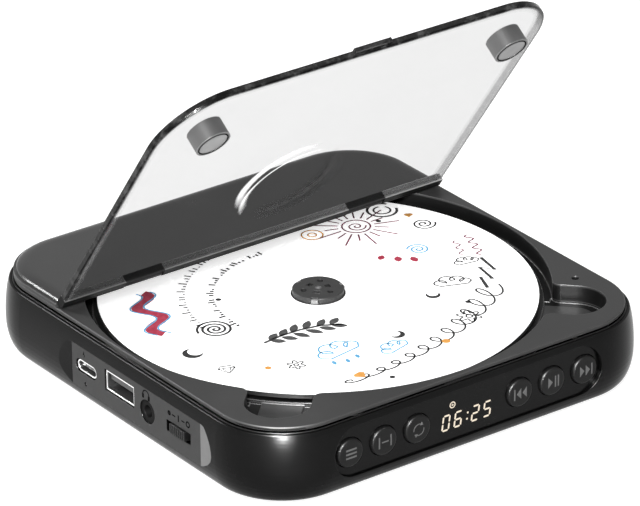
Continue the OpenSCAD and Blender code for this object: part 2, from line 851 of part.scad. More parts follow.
// Knuckles in the notches of the hinge bar, each on a leaf under the rear cover
module hinge_knuckles() {
    leaf_w = notch_w - 4 * slide_gap;
    leaf_top = cover_top - cover_t;
    color([0.08, 0.08, 0.085])
    for (s = [-1, 1])
        translate([s * knuckle_x, hinge_y, 0])
            difference() {
                union() {
                    translate([-leaf_w / 2, 0, axis_z])
                        rotate([0, 90, 0])
                            cylinder(r = barrel_r - slide_gap, h = leaf_w);
                    translate([-leaf_w / 2, 0, leaf_top - leaf_t])
                        cube([leaf_w, leaf_l, leaf_t]);
                }
                translate([-leaf_w, 0, axis_z])
                    rotate([0, 90, 0])
                        cylinder(r = pin_r + running_gap, h = 2 * leaf_w);
                for (x = [-1, 1])
                    translate([x * leaf_w / 4, leaf_l - 4, axis_z - 3])
                        cylinder(r = hinge_screw_r + running_gap, h = 6);
            }
}

module hinge_screws() {
    leaf_w = notch_w - 4 * slide_gap;
    leaf_low = cover_top - cover_t - leaf_t;
    color([0.6, 0.6, 0.62])
    for (s = [-1, 1], x = [-1, 1])
        translate([s * knuckle_x + x * leaf_w / 4, hinge_y + leaf_l - 4, leaf_low]) {
            translate([0, 0, -hinge_head_t])
                cylinder(r = hinge_head_r, h = hinge_head_t);
            translate([0, 0, -hair])
                cylinder(r = hinge_screw_r, h = leaf_t);
        }
}

module hinge_pins() {
    color([0.7, 0.7, 0.72])
    for (s = [-1, 1])
        translate([s * knuckle_x - pin_len / 2, hinge_y, axis_z])
            rotate([0, 90, 0])
                cylinder(r = pin_r, h = pin_len);
}

module catch_magnets() {
    color([0.55, 0.55, 0.56])
    for (s = [-1, 1])
        translate([s * post_x, hinge_y - post_s, under_z - magnet_t])
            cylinder(r = magnet_r, h = magnet_t);
}

module feet() {
    color([0.1, 0.1, 0.1])
    foot_shapes(foot_proud + foot_seat);
}

module case_screws() {
    color([0.5, 0.5, 0.52])
    at_case_spots() {
        translate([0, 0, foot_proud + seat_gap])
            cylinder(r = screw_head_r, h = head_t - seat_gap);
        translate([0, 0, foot_proud + 0.5])
            cylinder(r = screw_shaft_r, h = screw_end - foot_proud - 0.5);
    }
}

// Swings its children from shut to the angle at which the lid stands
module open_lid() {
    translate([0, hinge_y, axis_z])
        rotate([-lid_open, 0, 0])
            children();
}

// Plan of the shut lid, measured from the hinge axis
module lid_plan(w, from, to, r) {
    translate([-w / 2, -to + r])
        square([w, to - r - from]);
    translate([-w / 2 + r, -to])
        square([w - 2 * r, 2 * r]);
    for (s = [-1, 1])
        translate([s * (w / 2 - r), -to + r])
            circle(r);
}

module lid_panel() {
    edge = 0.35;
    color([0.85, 0.87, 0.88, 0.35])
    open_lid()
        difference() {
            union() {
                translate([0, 0, -lid_drop + edge])
                    linear_extrude(lid_t - 2 * edge)
                        lid_plan(lid_w, bar_depth, lid_l, lid_corner_r);
                translate([0, 0, -lid_drop])
                    linear_extrude(lid_t)
                        lid_plan(lid_w - 2 * edge, bar_depth, lid_l - edge, lid_corner_r - edge);
                translate([-tab_w / 2, -lid_l - tab_l, -lid_drop + 0.6])
                    cube([tab_w, tab_l + 2, lid_t - 0.8]);
            }
            translate([0, spindle_y - hinge_y, -lid_drop - hair])
                cylinder(r1 = dish_r, r2 = dish_r - 2, h = dish_depth);
        }
}

module hinge_bar() {
    stretch_end = lid_w / 2;
    inner = knuckle_x - notch_w / 2;
    outer = knuckle_x + notch_w / 2;
    low = -lid_drop - bar_proud;
    color([0.1, 0.1, 0.105])
    open_lid()
        difference() {
            union() {
                translate([-stretch_end, -bar_depth, low])
                    cube([2 * stretch_end, bar_web, lid_t + bar_proud]);
                for (span = [[-stretch_end, -outer], [-inner, inner], [outer, stretch_end]]) {
                    translate([span[0], 0, 0])
                        rotate([0, 90, 0])
                            cylinder(r = barrel_r, h = span[1] - span[0]);
                    translate([span[0], -bar_depth, low])
                        cube([span[1] - span[0], bar_depth, lid_t + bar_proud]);
                }
            }
            for (s = [-1, 1])
                translate([s * knuckle_x - pin_len / 2 - 0.2, 0, 0])
                    rotate([0, 90, 0])
                        cylinder(r = pin_r + running_gap, h = pin_len + 0.4);
        }
}

module at_posts() {
    for (s = [-1, 1])
        translate([s * post_x, -post_s, -lid_drop])
            children();
}

module lid_posts() {
    color([0.45, 0.45, 0.46])
    open_lid()
        at_posts()
            difference() {
                translate([0, 0, -post_l])
                    cylinder(r = post_r, h = post_l);
                translate([0, 0, -post_l - 1])
                    cylinder(r = magnet_r + seat_gap, h = magnet_t + magnet_sink + 1);
            }
}

module lid_magnets() {
    color([0.38, 0.38, 0.39])
    open_lid()
        at_posts()
            translate([0, 0, magnet_sink - post_l])
                cylinder(r = magnet_r, h = magnet_t);
}

module disc() {
    color([0.96, 0.96, 0.96])
    translate([0, spindle_y, disc_low])
        difference() {
            cylinder(d = disc_d, h = disc_t);
            translate([0, 0, -1])
                cylinder(d = disc_hole_d, h = disc_t + 2);
        }
}

// Turns its children to a claw's place, the first axis running outwards
module at_claw(i) {
    translate([0, spindle_y, 0])
        rotate(claw_angle + 120 * i)
            children();
}

module spindle_hub() {
    boss_top = disc_top + boss_proud;
    table_top = disc_low - pad_t;
    sleeve_low = chassis_top + hub_sleeve_gap;
    land_r = table_r - pad_w;
    color([0.36, 0.36, 0.37])
    difference() {
        translate([0, spindle_y, 0])
            rotate_extrude()
                polygon([[shaft_r, sleeve_low], [hub_sleeve_r, sleeve_low],
                    [hub_sleeve_r, table_top - table_t], [table_r, table_top - table_t],
                    [table_r, table_top], [land_r, table_top], [land_r, disc_low],
                    [boss_r, disc_low], [boss_r, boss_top - hub_edge],
                    [boss_r - hub_edge, boss_top], [shaft_r, boss_top]]);
        for (i = [0:2])
            at_claw(i) {
                translate([claw_in - claw_stroke - slide_gap, -claw_w / 2 - slide_gap, claw_z - slide_gap])
                    cube([boss_r, claw_w + 2 * slide_gap, claw_h + 2 * slide_gap]);
                translate([boss_r - hub_notch, -claw_w / 2 - slide_gap, claw_z])
                    cube([boss_r, claw_w + 2 * slide_gap, boss_top]);
                translate([hub_slot_r, -hub_slot[1] / 2, boss_top - hub_slot[2]])
                    cube([hub_slot[0], hub_slot[1], hub_slot[2] + 1]);
                rotate(60)
                    translate([hub_eye_at, 0, boss_top - hub_eye_depth])
                        cylinder(r = hub_eye_r, h = hub_eye_depth + 1);
            }
    }
}

module disc_pad() {
    color([0.12, 0.12, 0.12])
    translate([0, spindle_y, disc_low - pad_t])
        difference() {
            cylinder(r = table_r, h = pad_t);
            translate([0, 0, -1])
                cylinder(r = table_r - pad_w + seat_gap, h = 3);
        }
}

module hub_claw(i) {
    color([0.5, 0.5, 0.51])
    at_claw(i)
        translate([claw_in, -claw_w / 2, claw_z])
            difference() {
                cube([claw_l, claw_w, claw_h]);
                translate([claw_l - 0.3, -1, claw_h])
                    rotate([0, 45, 0])
                        cube([1, claw_w + 2, 1]);
            }
}

module spindle_shaft() {
    color([0.75, 0.75, 0.77])
    translate([0, spindle_y, chassis_z - 3])
        cylinder(r = shaft_r, h = disc_top + boss_proud - 0.1 - chassis_z + 3);
}

module spindle_motor() {
    color([0.62, 0.62, 0.64])
    translate([0, spindle_y, chassis_z - motor_h])
        difference() {
            union() {
                cylinder(r = motor_r, h = motor_h);
                cylinder(r = 3, h = motor_h + chassis_t);
            }
            translate([0, 0, motor_h - 3.2])
                cylinder(r = shaft_r + running_gap, h = 8);
        }
}

module chassis() {
    lug_low = rod_z - rod_r - 1.5;
    lug_h = chassis_z - lug_low + hair;
    color([0.66, 0.67, 0.69])
    difference() {
        union() {
            translate([-chassis_w / 2, chassis_front, chassis_z])
                cube([chassis_w, chassis_rear - chassis_front, chassis_t]);
            for (y = [front_lug_y, rear_lug_y], s = [-1, 1])
                translate([s * rod_x - 3, y, lug_low])
                    cube([6, lug_t, lug_h]);
            for (y = [screw_lug_y, rear_lug_y])
                translate([screw_x - 4, y, lug_low])
                    cube([8, lug_t, lug_h]);
        }
        translate([0, spindle_y, chassis_z - 1])
            cylinder(r = 3 + seat_gap, h = chassis_t + 2);
        translate([-tower_w / 2 - 1, sled_back - 1, chassis_z - 1])
            cube([tower_w + 2, rear_lug_y - sled_back + 1, chassis_t + 2]);
        for (spot = damper_spots)
            translate([spot[0], spot[1], chassis_z - 1])
                cylinder(r = damper_core_r + seat_gap, h = chassis_t + 2);
        for (s = [-1, 1])
            translate([s * rod_x, front_lug_y - 1, rod_z])
                rotate([-90, 0, 0])
                    cylinder(r = rod_r + 0.02, h = chassis_rear - front_lug_y + 2);
        translate([screw_x, screw_lug_y - 1, rod_z])
            rotate([-90, 0, 0])
                cylinder(r = screw_r + running_gap, h = chassis_rear - screw_lug_y + 2);
    }
}

module dampers() {
    color([0.16, 0.16, 0.17])
    for (spot = damper_spots)
        translate([spot[0], spot[1], 0])
            rotate_extrude()
                polygon([[damper_bore_r, post_top], [damper_r, post_top], [damper_r, chassis_z],
                    [damper_core_r, chassis_z], [damper_core_r, chassis_top],
                    [damper_r, chassis_top], [damper_r, chassis_top + damper_flange * 0.6],
                    [damper_bore_r, chassis_top + damper_flange * 0.6]]);
}

module damper_screws() {
    damper_top = chassis_top + damper_flange * 0.6;
    color([0.5, 0.5, 0.52])
    for (spot = damper_spots)
        translate([spot[0], spot[1], 0]) {
            translate([0, 0, floor_z + 2])
                cylinder(r = screw_shaft_r, h = damper_top - floor_z - 2 + hair);
            translate([0, 0, damper_top])
                cylinder(r = screw_head_r + 0.3, h = 0.7);
        }
}

module guide_rods() {
    color([0.78, 0.78, 0.8])
    for (s = [-1, 1])
        translate([s * rod_x, front_lug_y, rod_z])
            rotate([-90, 0, 0])
                cylinder(r = rod_r, h = chassis_rear - front_lug_y);
}

module pickup_sled() {
    half_w = rod_x + rod_r + 1.6;
    arm_w = screw_x + screw_r + 1.2;
    arm_low = rod_z - screw_r - 1.2;
    length = sled_tail + sled_nose;
    color([0.2, 0.2, 0.21])
    difference() {
        union() {
            translate([-half_w, sled_back, sled_z])
                cube([2 * half_w, length, sled_h]);
            translate([-tower_w / 2, lens_y - 7.5, sled_z])
                cube([tower_w, 7.5 + sled_nose, tower_top - sled_z]);
            translate([half_w - 1, lens_y - 7, arm_low])
                cube([arm_w - half_w + 1, 7, 2 * (screw_r + 1.2)]);
        }
        for (s = [-1, 1])
            translate([s * rod_x, sled_back - 1, rod_z])
                rotate([-90, 0, 0])
                    cylinder(r = rod_r + running_gap, h = length + 2);
        translate([screw_x, sled_back - 1, rod_z])
            rotate([-90, 0, 0])
                cylinder(r = screw_r + running_gap, h = length + 2);
        translate([0, lens_y, tower_top - 3.5])
            cylinder(r = lens_r + lens_room, h = 6);
    }
}

module pickup_lens() {
    low = tower_top - 3;
    color([0.45, 0.5, 0.6])
    translate([0, lens_y, low])
        rotate_extrude()
            polygon([[0, 0], [lens_r, 0], [lens_r, lens_top - low - 0.8], [lens_r - 1, lens_top - low - 0.4],
                [lens_r - 1.6, lens_top - low - 0.4], [lens_r - 2, lens_top - low], [0, lens_top - low]]);
}

module lead_screw() {
    color([0.72, 0.72, 0.74])
    translate([screw_x, screw_lug_y - 3, rod_z])
        rotate([-90, 0, 0])
            cylinder(r = screw_r, h = chassis_rear - screw_lug_y + 3);
}

module sled_motor() {
    color([0.6, 0.6, 0.62])
    translate([screw_x, screw_lug_y, rod_z])
        rotate([90, 0, 0])
            difference() {
                cylinder(r = sled_motor_r, h = sled_motor_l);
                translate([0, 0, -1])
                    cylinder(r = screw_r + running_gap, h = 4.2);
            }
}

module key_panel() {
    color([0.05, 0.05, 0.055])
    difference() {
        union() {
            on_front(0, panel_y, key_z)
                linear_extrude(panel_back - panel_y + hair)
                    stadium(panel_w - 4 * seat_gap, panel_h - 4 * seat_gap);
            on_front(0, panel_back, key_z)
                linear_extrude(panel_flange_t)
                    stadium(panel_w + 2 * panel_flange_w, panel_h + 2 * panel_flange_w);
        }
        for (x = key_xs)
            on_front(x, panel_y - 1, key_z)
                cylinder(r = key_r + key_gap, h = 6);
    }
}

// A key is revolved about its axis: a domed cap, a flange behind the panel and a stem
module key(i) {
    cap_back = panel_back + panel_flange_t + seat_gap - panel_y;
    stem_end = key_board_y - tact_t - tact_tip - key_travel - 0.05 - panel_y;
    color([0.16, 0.16, 0.17])
    on_front(key_xs[i], panel_y, key_z)
        rotate_extrude()
            polygon([[0, -key_proud], [key_r * 0.5, -key_proud + 0.04], [key_r - 0.5, -key_proud + 0.14],
                [key_r - 0.15, -key_proud + 0.3], [key_r, -key_proud + 0.55], [key_r, cap_back],
                [key_flange_r, cap_back],
                [key_flange_r, cap_back + key_flange_t], [key_stem_r, cap_back + key_flange_t],
                [key_stem_r, stem_end], [0, stem_end]]);
}

module key_board() {
    color([0.1, 0.3, 0.18])
    translate([-key_board_w / 2, key_board_y, floor_z])
        cube([key_board_w, board_t, key_board_h]);
}

module tact_switches() {
    color([0.5, 0.5, 0.5])
    for (x = key_xs)
        translate([x, key_board_y, key_z])
            rotate([90, 0, 0]) {
                translate([-tact_w / 2, -tact_w / 2, 0])
                    cube([tact_w, tact_w, tact_t]);
                translate([0, 0, tact_t - hair])
                    cylinder(r = 1.6, h = tact_tip);
            }
}

module display_module() {
    depth = key_board_y - panel_back - panel_flange_t - seat_gap;
    color([0.12, 0.12, 0.13])
    translate([-display_w / 2, panel_back + panel_flange_t + seat_gap, display_z - display_h / 2])
        cube([display_w, depth, display_h]);
}

module main_board() {
    color([0.1, 0.3, 0.18])
    difference() {
        translate([board_left, board_front, board_z - board_t])
            cube([board_right - board_left, board_rear - board_front, board_t]);
        for (spot = board_spots)
            translate([spot[0], spot[1], board_z - 3])
                cylinder(r = screw_shaft_r + seat_gap, h = 6);
    }
}

module board_screws() {
    color([0.6, 0.6, 0.62])
    for (spot = board_spots)
        translate([spot[0], spot[1], 0]) {
            translate([0, 0, floor_z + 1.5])
                cylinder(r = screw_shaft_r, h = board_z - floor_z - 1.5 + hair);
            translate([0, 0, board_z])
                cylinder(r = screw_head_r, h = 0.9);
        }
}

// Legs that stand a socket on the main board, under its front and back ends
module socket_legs(y, w, low, back) {
    first = max(board_left + seat_gap * 2, flat_x + mouth_in + socket_leg[0]);
    for (s = [-1, 1], x = [first, back - socket_leg[0] - socket_t])
        translate([x, y + s * (w / 2 - socket_leg[1]) - socket_leg[1] / 2, board_z])
            cube([socket_leg[0], socket_leg[1], low - board_z + 0.2]);
}

module usb_c_socket() {
    mouth = flat_x + mouth_in;
    inner = [usb_c[0] - 2 * socket_t, usb_c[1] - 2 * socket_t];
    color([0.82, 0.82, 0.84]) {
        difference() {
            on_left(mouth, usb_c_y, usb_c_z)
                linear_extrude(usb_c_l)
                    rounded(usb_c[0], usb_c[1], usb_c[1] / 2 - hair);
            on_left(mouth - 1, usb_c_y, usb_c_z)
                linear_extrude(usb_c_l + 1 - socket_back)
                    rounded(inner[0], inner[1], inner[1] / 2 - hair);
        }
        on_left(mouth + tongue_in, usb_c_y, usb_c_z)
            linear_extrude(usb_c_l - tongue_in - hair)
                square(usb_c_tongue, center = true);
        socket_legs(usb_c_y, usb_c[0] - 2.4, usb_c_z - usb_c[1] / 2, mouth + usb_c_l);
    }
}

module usb_a_socket() {
    mouth = flat_x + mouth_in;
    color([0.82, 0.82, 0.84]) {
        difference() {
            on_left(mouth, usb_a_y, usb_a_z)
                linear_extrude(usb_a_l)
                    square(usb_a, center = true);
            on_left(mouth - 1, usb_a_y, usb_a_z)
                linear_extrude(usb_a_l + 1 - socket_back)
                    square([usb_a[0] - 2 * socket_t, usb_a[1] - 2 * socket_t], center = true);
        }
        on_left(mouth + tongue_in, usb_a_y, usb_a_z + 1)
            linear_extrude(usb_a_l - tongue_in - hair)
                square(usb_a_tongue, center = true);
        socket_legs(usb_a_y, usb_a[0], usb_a_z - usb_a[1] / 2, mouth + usb_a_l);
    }
}

module headphone_jack() {
    nose = flat_x + 0.3;
    body_x = -wall_x + 0.2;
    color([0.09, 0.09, 0.095])
    difference() {
        union() {
            on_left(nose, jack_y, jack_z)
                cylinder(r = jack_nose_r, h = body_x - nose + hair);
            translate([body_x, jack_y - jack_body[1] / 2, board_z])
                cube(jack_body);
        }
        on_left(nose - 1, jack_y, jack_z)
            cylinder(r = jack_r, h = jack_bore_l + 1);
    }
}

module switch_body() {
    x = -wall_x + 0.2;
    color([0.55, 0.55, 0.57])
    difference() {
        translate([x, switch_y - switch_window_l / 2, board_z])
            cube([switch_body_d, switch_window_l, 5]);
        translate([x - 1, switch_y - knob_l / 2 - knob_travel - 0.2, switch_z - 1])
            cube([2.2, knob_l + 2 * knob_travel + 0.4, 2]);
    }
}

// The knob's ribbed face, and the tongue that reaches into the switch
module switch_knob() {
    face = flat_x - knob_proud;
    h = switch_window_h - 2 * socket_gap;
    ribs = 7;
    color([0.12, 0.12, 0.125]) {
        difference() {
            translate([face, switch_y - knob_l / 2, switch_z - h / 2])
                cube([-wall_x - face, knob_l, h]);
            for (i = [1:ribs])
                translate([face - 1, switch_y - knob_l / 2 + i * knob_l / (ribs + 1) - 0.17, switch_z - h])
                    cube([1.3, 0.34, 2 * h]);
        }
        translate([-wall_x - hair, switch_y - knob_l / 2, switch_z - 0.8])
            cube([1.2, knob_l, 1.6]);
    }
}

module charge_light() {
    color([0.9, 0.9, 0.85])
    on_left(flat_x + 0.4, light_y, light_z)
        cylinder(r = light_hole_r - running_gap, h = 3.4);
}

module battery() {
    color([0.3, 0.45, 0.65])
    translate([battery_left, -battery_l / 2, floor_z])
        cube([battery_w, battery_l, battery_t]);
}

module lid_sensor() {
    color([0.2, 0.2, 0.2])
    translate([sensor_x - 2, sensor_y - 2, band_z - 1.2 - 2.5])
        cube([4, 4, 2.5]);
}

bottom_shell();
seam_ring();
deck();
rear_cover();
hinge_knuckles();
hinge_screws();
hinge_pins();
catch_magnets();
feet();
case_screws();
lid_panel();
hinge_bar();
lid_posts();
lid_magnets();
disc();
spindle_hub();
disc_pad();
hub_claw(0);  // hub_claw_1
hub_claw(1);  // hub_claw_2
hub_claw(2);  // hub_claw_3
spindle_shaft();
spindle_motor();
chassis();
dampers();
damper_screws();
guide_rods();
pickup_sled();
pickup_lens();
lead_screw();
sled_motor();
key_panel();
key(0);  // key_mode
key(1);  // key_section
key(2);  // key_loop
key(3);  // key_back
key(4);  // key_play
key(5);  // key_next
key_board();
tact_switches();
display_module();
main_board();
board_screws();
usb_c_socket();
usb_a_socket();
headphone_jack();
switch_body();
switch_knob();
charge_light();
battery();
lid_sensor();
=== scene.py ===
# A small square disc player with a clear lid, standing open on a pale table.
import math
import bmesh
import bpy
from mathutils import Matrix, Vector


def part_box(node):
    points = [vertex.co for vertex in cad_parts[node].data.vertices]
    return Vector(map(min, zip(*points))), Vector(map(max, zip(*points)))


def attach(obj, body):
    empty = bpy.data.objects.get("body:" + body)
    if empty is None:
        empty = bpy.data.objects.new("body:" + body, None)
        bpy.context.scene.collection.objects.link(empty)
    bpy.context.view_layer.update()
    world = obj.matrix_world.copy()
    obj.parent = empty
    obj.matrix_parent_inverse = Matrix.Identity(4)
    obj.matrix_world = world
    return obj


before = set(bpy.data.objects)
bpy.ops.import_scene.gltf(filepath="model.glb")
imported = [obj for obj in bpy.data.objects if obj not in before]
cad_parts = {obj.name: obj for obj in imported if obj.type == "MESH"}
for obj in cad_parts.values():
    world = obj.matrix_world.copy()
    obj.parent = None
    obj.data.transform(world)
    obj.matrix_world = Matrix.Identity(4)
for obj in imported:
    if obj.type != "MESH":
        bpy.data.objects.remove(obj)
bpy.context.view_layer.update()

# ---------------------------------------------------------------- camera
# A long lens about a metre and a half away, to the left of the front corner and above it.
# The body's front side runs up to the right, and its left side up to the left.
azimuth, elevation, roll = (math.radians(a) for a in (-36.105, 26.413, -0.529))
look_back = Vector((math.sin(azimuth) * math.cos(elevation), -math.cos(azimuth) * math.cos(elevation),
                    math.sin(elevation)))
to_right = Vector((math.cos(azimuth), math.sin(azimuth), 0))
upward = look_back.cross(to_right)
image_right = math.cos(roll) * to_right + math.sin(roll) * upward
image_up = math.cos(roll) * upward - math.sin(roll) * to_right
disc_centre = Vector((-0.0001, -0.00035, 0.01993))
camera_distance = 1.46474
camera = bpy.data.objects.new("camera", bpy.data.cameras.new("camera"))
bpy.context.scene.collection.objects.link(camera)
camera.matrix_world = Matrix.Translation(disc_centre + look_back * camera_distance) @ Matrix(
    (image_right, image_up, look_back)).transposed().to_4x4()
camera.data.sensor_width = 36
camera.data.lens = 303.41
camera.data.shift_x = 0.0034
camera.data.shift_y = 0.0622
camera.data.clip_start = 0.1
camera.data.clip_end = 20
bpy.context.scene.camera = camera
bpy.context.scene.view_settings.view_transform = "Standard"


# ---------------------------------------------------------------- table and light
# A sheet of white studio paper under an even white sky. Two round lamps face the front corner,
# a soft box stands behind to the left, and another one stands to the right.
class Value:
    """An output socket that takes part in sums."""

    def __init__(self, finish, socket):
        self.finish = finish
        self.socket = socket

    def sum_with(self, operation, *others):
        inputs = {i: other for i, other in enumerate((self,) + others)}
        return self.finish.node("ShaderNodeMath", {"operation": operation}, inputs)

    def __add__(self, other):
        return self.sum_with("ADD", other)

    def __sub__(self, other):
        return self.sum_with("SUBTRACT", other)

    def __rsub__(self, other):
        return self.finish.node("ShaderNodeMath", {"operation": "SUBTRACT"}, {0: other, 1: self})

    def __mul__(self, other):
        return self.sum_with("MULTIPLY", other)

    def __truediv__(self, other):
        return self.sum_with("DIVIDE", other)

    def __pow__(self, other):
        return self.sum_with("POWER", other)

    def __gt__(self, other):
        return self.sum_with("GREATER_THAN", other)

    def __lt__(self, other):
        return self.sum_with("LESS_THAN", other)

    __radd__ = __add__
    __rmul__ = __mul__

    def at_least(self, other):
        return self.sum_with("MAXIMUM", other)

    def size(self):
        return self.sum_with("ABSOLUTE")

    def clipped(self, low, high):
        """0 below low, 1 above high, and straight between."""
        return self.finish.node("ShaderNodeMapRange", {}, {0: self, 1: low, 2: high})

    def along(self, direction):
        """How far a vector reaches along a direction."""
        return self.finish.node("ShaderNodeVectorMath", {"operation": "DOT_PRODUCT"},
                                {0: self, 1: direction}, "Value")


class Finish:
    """A material and the nodes that make it."""

    def __init__(self, name):
        self.material = bpy.data.materials.new(name)
        self.material.use_nodes = True
        self.tree = self.material.node_tree
        self.shader = self.tree.nodes["Principled BSDF"]

    def node(self, kind, settings, inputs, output=0):
        made = self.tree.nodes.new(kind)
        for key, value in settings.items():
            if key == "stops":
                ramp = made.color_ramp.elements
                while len(ramp) < len(value):
                    ramp.new(1)
                for stop, (place, colour) in zip(ramp, value):
                    stop.position = place
                    stop.color = (*colour, 1)
            else:
                setattr(made, key, value)
        for key, value in inputs.items():
            self.feed(made.inputs[key], value)
        return Value(self, made.outputs[output])

    def feed(self, socket, value):
        if isinstance(value, Value):
            self.tree.links.new(value.socket, socket)
        elif isinstance(value, (tuple, list, Vector)) and len(socket.default_value) == 4:
            socket.default_value = (value[0], value[1], value[2], 1)
        else:
            socket.default_value = value

    def set(self, shader=None, **inputs):
        for key, value in inputs.items():
            self.feed((shader or self.shader).inputs[key.replace("_", " ")], value)

    def second_shader(self, factor, **inputs):
        """Another shader that takes over where the factor is 1."""
        other = self.tree.nodes.new("ShaderNodeBsdfPrincipled")
        self.set(other, **inputs)
        surface = self.tree.nodes["Material Output"].inputs["Surface"]
        so_far = surface.links[0].from_socket
        mixed = self.node("ShaderNodeMixShader", {}, {0: factor}).socket
        self.tree.links.new(so_far, mixed.node.inputs[1])
        self.tree.links.new(other.outputs[0], mixed.node.inputs[2])
        self.tree.links.new(mixed, surface)

    def place(self):
        """Where the point is on the object, in metres."""
        return self.node("ShaderNodeTexCoord", {}, {}, "Object")

    def part(self, axis, place=None):
        """One coordinate of a point."""
        return self.node("ShaderNodeSeparateXYZ", {}, {0: place or self.place()}, axis)

    def facing(self):
        """The direction that the bare surface faces."""
        return self.node("ShaderNodeNewGeometry", {}, {}, "Normal")

    def noise(self, size, detail=3, rough=0.55, place=None):
        """Cloudy values round 0.5, in patches of the size given in metres."""
        inputs = {"Vector": place or self.place(), "Scale": 1 / size, "Detail": detail, "Roughness": rough}
        return self.node("ShaderNodeTexNoise", {}, inputs)

    def mix(self, factor, first, second):
        """Colour between two colours."""
        return self.node("ShaderNodeMix", {"data_type": "RGBA"}, {0: factor, 6: first, 7: second}, 2)

    def bump(self, height, depth, strength=1.0, normal=None):
        """The surface's direction, roughened by heights of 0 to 1 over a depth in metres."""
        inputs = {"Height": height, "Distance": depth, "Strength": strength}
        if normal:
            inputs["Normal"] = normal
        return self.node("ShaderNodeBump", {}, inputs)

    def eased(self, radius):
        """The surface's direction with its sharp edges rounded off."""
        return self.node("ShaderNodeBevel", {"samples": 4}, {"Radius": radius})


def grey(level):
    """A colour from a screen level of 0 to 255."""
    light = ((level / 255 + 0.055) / 1.055) ** 2.4 if level > 10 else level / 255 / 12.92
    return light, light, light


paper = Finish("white_paper")
paper.set(Base_Color=paper.mix(paper.noise(0.004, 4), grey(150), grey(158)), Roughness=0.9,
          Normal=paper.bump(paper.noise(0.0008, 4), 0.00004, 0.4), Specular_IOR_Level=0.1,
          Emission_Color=(1, 1, 1), Emission_Strength=0.86)
far = 6
sheet_mesh = bpy.data.meshes.new("paper_sheet")
sheet_mesh.from_pydata([(-far, -far, 0), (far, -far, 0), (far, far, 0), (-far, far, 0)], [], [(0, 1, 2, 3)])
sheet = bpy.data.objects.new("paper_sheet", sheet_mesh)
bpy.context.scene.collection.objects.link(sheet)
sheet.data.materials.append(paper.material)

sky = bpy.data.worlds.new("sky")
sky.use_nodes = True
white_sky = sky.node_tree.nodes["Background"]
white_sky.inputs["Color"].default_value = (1, 1, 1, 1)
white_sky.inputs["Strength"].default_value = 0.72
bpy.context.scene.world = sky


def soft_box(name, place, aim, size, power, only_gloss=False):
    """A round lamp that faces a point. One that is only for gloss leaves the table evenly lit."""
    lamp = bpy.data.lights.new(name, "AREA")
    lamp.shape = "ELLIPSE"
    lamp.size, lamp.size_y = size
    lamp.energy = power
    box = bpy.data.objects.new(name, lamp)
    bpy.context.scene.collection.objects.link(box)
    box.location = place
    box.rotation_euler = (Vector(aim) - Vector(place)).to_track_quat("-Z", "Y").to_euler()
    box.visible_diffuse = not only_gloss


soft_box("lamp_front", (-0.66, -0.72, 0.68), (-0.05, -0.05, 0.02), (0.16, 0.16), 520, True)
soft_box("lamp_low", (-0.36, -0.48, 0.05), (-0.05, -0.05, 0.01), (0.09, 0.09), 14, True)
soft_box("box_behind", (-0.62, 0.98, 0.72), (0, 0, 0), (0.3, 0.3), 20)
soft_box("box_right", (0.95, -0.25, 1.3), (0, 0, 0), (0.6, 0.6), 1.5)


# ---------------------------------------------------------------- bottom shell
# A dark tray moulded in hard plastic with swelling sides and a fine satin grain. Its gloss is
# uneven where hands have rubbed it. The ports stand in a flat, with a ramp at its front end.
def moulded(name, tone, roughness, sheen=0.3, grain=0.00022, depth=0.000005, rubbed=0.06, edge=0.00025,
            lift=0.3):
    """Moulded plastic: grain, patches of other gloss, and rounded edges that catch the light and are
    painted paler by the lift: edge wear and a painted highlight.
    """
    finish = Finish(name)
    patches = finish.noise(0.018, 4)
    fine = finish.noise(grain, 2)
    rounded = finish.eased(edge)
    turn = 1 - rounded.along(finish.facing())
    # Edges are painted paler in patches: edge wear, and a painted highlight along them
    painted_pale = turn.clipped(0.01, 0.25) * lift * (0.6 + 0.8 * finish.noise(0.0016, 3))
    cloud = (patches - 0.5) * 0.22 + painted_pale
    finish.set(Base_Color=finish.mix(cloud.clipped(0, 1), grey(tone), grey(tone * 1.5 + 30)),
               Roughness=roughness + (patches - 0.5) * rubbed * 2 + (fine - 0.5) * 0.05,
               Normal=finish.bump(fine, depth, 0.5, rounded), Specular_IOR_Level=sheen)
    return finish


def smooth(thing, degrees=28):
    """Shades a piece smooth across gentle corners and leaves the others sharp."""
    thing.data.shade_smooth()
    thing.data.set_sharp_from_angle(angle=math.radians(degrees))


def coat(finish, *names):
    """Puts one finish on CAD nodes."""
    for name in names:
        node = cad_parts[name]
        for slot in node.material_slots:
            slot.material = finish.material
        smooth(node)


mm = 0.001
flat_x, flat_low, flat_high = -66.4, 4.05, 17.15
ramp_y = -38.5
shell_finish = moulded("shell_plastic", 12, 0.24, sheen=0.07, edge=0.0003)
shell_x, shell_y, shell_z = (shell_finish.part(axis) for axis in "XYZ")
bare = shell_finish.node("ShaderNodeNewGeometry", {}, {}, "True Normal")
recess = (shell_x < (flat_x + 1.4) * mm) * (shell_z < flat_high * mm) * (shell_z > flat_low * mm)
polish = shell_finish.noise(0.003, 3)
flat = recess * (shell_x > (flat_x - 0.1) * mm) * (bare.along((-1, 0, 0)) > 0.9999)
shell_finish.second_shader(flat, Base_Color=shell_finish.mix(polish, grey(40), grey(48)), Roughness=0.45,
                           Specular_IOR_Level=0.12, Normal=shell_finish.eased(0.0002))
# The ramp at the flat's front end is painted paler, a painted highlight where its slope catches the light,
# and has more gloss
ramp = recess * (shell_y < ramp_y * mm) * (bare.along((0, 1, 0)) > 0.01) * (bare.along((-1, 0, 0)) > 0.9)
shell_finish.second_shader(ramp, Base_Color=shell_finish.mix(polish, grey(62), grey(84)),
                           Roughness=0.4, Specular_IOR_Level=0.5, Normal=shell_finish.eased(0.0002))
coat(shell_finish, "bottom_shell")


# ---------------------------------------------------------------- feet
# Four quarter rings of soft black rubber set in the corners of the floor, matt and dusty. The
# dampers under the chassis and the pad under the disc are of the same rubber.
rubber = moulded("soft_rubber", 20, 0.8, sheen=0.1, grain=0.0004, depth=0.00002, rubbed=0.05)
coat(rubber, "feet", "dampers", "disc_pad")

